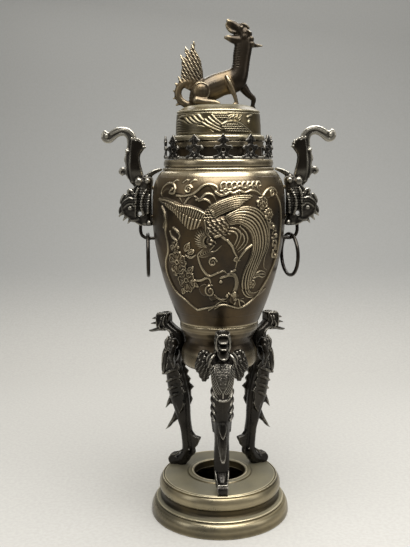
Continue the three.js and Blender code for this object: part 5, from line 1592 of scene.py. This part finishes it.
def beast_clay():
    beast = Clay()
    # trunk and neck in one, the crouching hind legs, then the fore legs
    beast.loft([[-29, 3, -30, 10, 4], [-24, 0.4, -26, 19.4, 8], [-16, 0.6, -17, 25.4, 9.8],
                [-8, 3.6, -8.5, 29.8, 9.6], [0, 6.8, 0, 32.4, 9], [8, 10.4, 7, 34.2, 8.8],
                [17, 12, 12.6, 36.4, 8.8], [26, 17, 14.6, 40.4, 8.4], [30, 26, 15, 45, 7.6],
                [31.4, 36, 15.2, 49, 7.2], [33, 46, 16, 54, 7], [34.4, 54, 17, 59, 6.8],
                [34, 62, 19, 65, 6.4], [31, 68, 20, 68, 5]], sides=24)

    beast.both(beast.ball, (-17.2, 6.9, 13.5), (9.0, 4.8, 9.4))
    haunch = [(-17.2 + 8.2 * math.cos(a), 9.3, 13.5 + 8.4 * math.sin(a)) for a in np.linspace(-0.9, 2.2, 12)]
    beast.both(beast.limb, haunch, 0.9)
    beast.both(beast.limb, [(-22, 8, 5), (-12, 9.6, 3.2), (-3, 9.8, 2.6), (0.6, 9.8, 1.6)],
               [4.4, 3.4, 2.6, 2.2])
    beast.limb([(10, -5.6, 24), (13.6, -8, 16), (17, -8.2, 8.4), (18.6, -8.2, 2), (18.6, -8.2, -0.4)],
               [4.6, 3.4, 2.2, 2.1, 2.8])
    beast.limb([(8.6, -9, 28), (11.4, -10.4, 22.6), (15, -10, 15)], [1.2, 1.7, 1.0])
    beast.ball((17.4, -8.2, 0.8), (3.4, 2.6, 2))
    beast.ball((34.6, 5.2, -1.8), (3.2, 2.6, 2))
    beast.limb([(24, 3, 20), (31, 4.4, 11.6), (36.4, 5, 6.6), (35.6, 5.2, 1), (36.2, 5.2, -3)],
               [5.4, 3.6, 2.8, 2.2, 2.6])
    # lower jaw, upper jaw with its tip, lips, and a thin plate between the jaws
    beast.limb([(24, 62), (16, 63.5), (10, 65.4), (7.6, 65.6)], [6, 4.2, 2.8, 1.8], flat=1.1)
    beast.limb([(27, 69), (24, 72), (19, 76), (14, 79.4), (10.4, 80.8), (9.8, 81.8), (11.4, 82.4)],
               [6, 5, 3.8, 2.8, 1.9, 1.3, 0.8], flat=1.15)
    beast.limb([(22, 69.6), (13.4, 71), (9.4, 74.8), (8.4, 78.6)], [2, 1.6, 1.3, 1], flat=1.4)
    beast.plate([(9, 79.4), (9.8, 75), (13.6, 71.4), (22, 70), (24, 72), (19, 76), (14, 79)], -1.3, 1.3,
                steps=1)
    # eyes, cheeks, brows, ears, the mane, the horn and the beads down the throat
    beast.both(beast.ball, (23.6, 4.8, 74), (2.2, 1.5, 1.7))
    beast.both(beast.ball, (26.4, 4.6, 65.4), (3.8, 2.6, 4))
    beast.both(beast.limb, [(22, 2.4, 77), (26.6, 3.4, 76.8), (31.6, 4.4, 73.6)], [1.6, 1.9, 0.8])
    beast.both(beast.limb, [(28, 4.4, 72), (32.6, 5.2, 69.4)], [1.6, 0.7])
    for x, z, size in ((31.6, 68.4, 3), (33.6, 63.6, 3), (34.4, 58.6, 3)):
        beast.both(beast.ball, (x, 2.8, z), (size, 2.6, size))
    beast.limb([(32, 58.6), (39, 57.6), (45.4, 57.2)], [3.2, 1.9, 0.6])
    beast.beads([(32.4, 0, 52), (30.8, 0, 42), (29.6, 0, 32), (27, 0, 22)], 11, 1.9, 1.4)
    # the tail: a ring with a fringe, and four flames above it
    beast.limb([(-23, 2.4), (-31, 1.6), (-38, 5.4), (-41, 11.6), (-39.4, 18), (-34, 22.6), (-28, 23)],
               [3.4, 3.8, 3.9, 3.8, 3.8, 4, 4.4], flat=0.9)
    for foot, tip in (((-38, 4), (-43.4, 0.8)), ((-41, 9), (-46, 7.6)), ((-41, 14), (-46, 15.2)),
                      ((-39.6, 19), (-44, 22.4)), ((-37, 22), (-40.6, 28.4)), ((-34, 24), (-37.4, 33.4))):
        beast.limb([foot, tip], [2.8, 0.7], flat=1.1)
    flames = (
        ([(-31, 21), (-33, 30), (-36.6, 39.4)], [5, 4, 0.7]),
        ([(-28, 20), (-31, 34), (-34.4, 43), (-38, 49)], [5.4, 4.8, 3, 0.7]),
        ([(-24, 22), (-27.4, 38), (-30, 48), (-33.4, 57)], [5.6, 5, 3.2, 0.7]),
        ([(-19.6, 20), (-20.2, 34), (-22.6, 46), (-25.4, 55), (-24, 62.4)], [5, 4.8, 4, 2.6, 0.7]),
    )
    for path, radii in flames:
        beast.limb(path, radii, flat=0.7)
    return beast


HATCH, RINGS = 0.42, 0.16  # how high the marks on the plume and the throat are, in millimetres
TAIL_HOLE = ([(-32.4, -14, 10.4), (-32.4, 0, 10.4), (-32.4, 14, 10.4)], 3.3)
points, normals, faces = beast_clay().fused(0.55, 2, [TAIL_HOLE])
x, y, z = points.T
plume = ramp(-x, 15, 19) * ramp(z, 22, 28)
hatch = np.cos((0.35 * x + 0.2 * z) * 5.2) + 0.6 * np.cos((z + 0.8 * x) * 3.0)
throat = ramp(x, 13, 15) * ramp(z, 34, 38) * ramp(62 - z, 0, 4) * ramp(24 - x, 0, 5)
height = HATCH * plume * hatch + RINGS * throat * np.cos(z * 2.6)
neck = ramp(x + 0.25 * np.minimum(z - 20, 12), 13, 18)
points = points + normals * height[:, None]
lid_surface = np.interp(np.hypot(points[:, 0], points[:, 1]), [31.2, 36.2, 40.6, 42.4],
                        [434.7, 432.9, 430.3, 429.2])
points[:, 2] = np.maximum(LID_TOP + BEAST_STRETCH * points[:, 2], lid_surface)
cast("beast", points, faces, "lid", ["finial_beast"], passes=8, reach=0.4,
     calm=1 - 0.3 * neck, stain=1.4 * np.maximum(0.7 * plume, neck),
     rubbed=0.16 * (1 - np.maximum(plume, neck)))

# %% [markdown]
# ## Floor and backdrop
#
# One sheet, flat under the burner and curving up behind it, like paper in a studio. The colour on it
# runs from warm white at the front to mid grey at the top, a painted shade for the light falling off.

# %% Floor
FLOOR_FRONT, FLOOR_BACK, BACKDROP_TOP = -1.6, 1.1, 2.2
CURVE_RADIUS, CURVE_STEPS = 0.6, 12
HALF_WIDTH = 2.6
JUST_BELOW = 0.0002


def floor_sheet():
    line = [(FLOOR_FRONT, 0.0), (FLOOR_BACK - CURVE_RADIUS, 0.0)]
    for step in range(1, CURVE_STEPS + 1):
        turn = math.pi / 2 * step / CURVE_STEPS
        line.append((
            FLOOR_BACK - CURVE_RADIUS + CURVE_RADIUS * math.sin(turn),
            CURVE_RADIUS - CURVE_RADIUS * math.cos(turn),
        ))
    line.append((FLOOR_BACK, BACKDROP_TOP))
    corners = [(x, y, z - JUST_BELOW) for y, z in line for x in (-HALF_WIDTH, HALF_WIDTH)]
    strips = [(2 * k, 2 * k + 1, 2 * k + 3, 2 * k + 2) for k in range(len(line) - 1)]
    mesh = mesh_of("floor", corners, strips)
    mesh.shade_smooth()
    sheet = placed("floor", mesh)
    shade = Shade("floor")
    height = shade.node("ShaderNodeSeparateXYZ", None, {0: shade.place}, output=2)
    rise = height.spread(-0.02, 0.16)
    mottle = shade.noise(0.004, 2).spread(0.3, 0.7)
    # painted shade: the sheet goes from warm white on the floor to mid grey up the backdrop
    paper = shade.mix(rise, rgb(0.345, 0.336, 0.314), rgb(0.224, 0.224, 0.215))
    paper = shade.mix(mottle * 0.16, paper, rgb(0.16, 0.155, 0.145))
    mesh.materials.append(shade.finish(Base_Color=paper, Roughness=0.9))


floor_sheet()
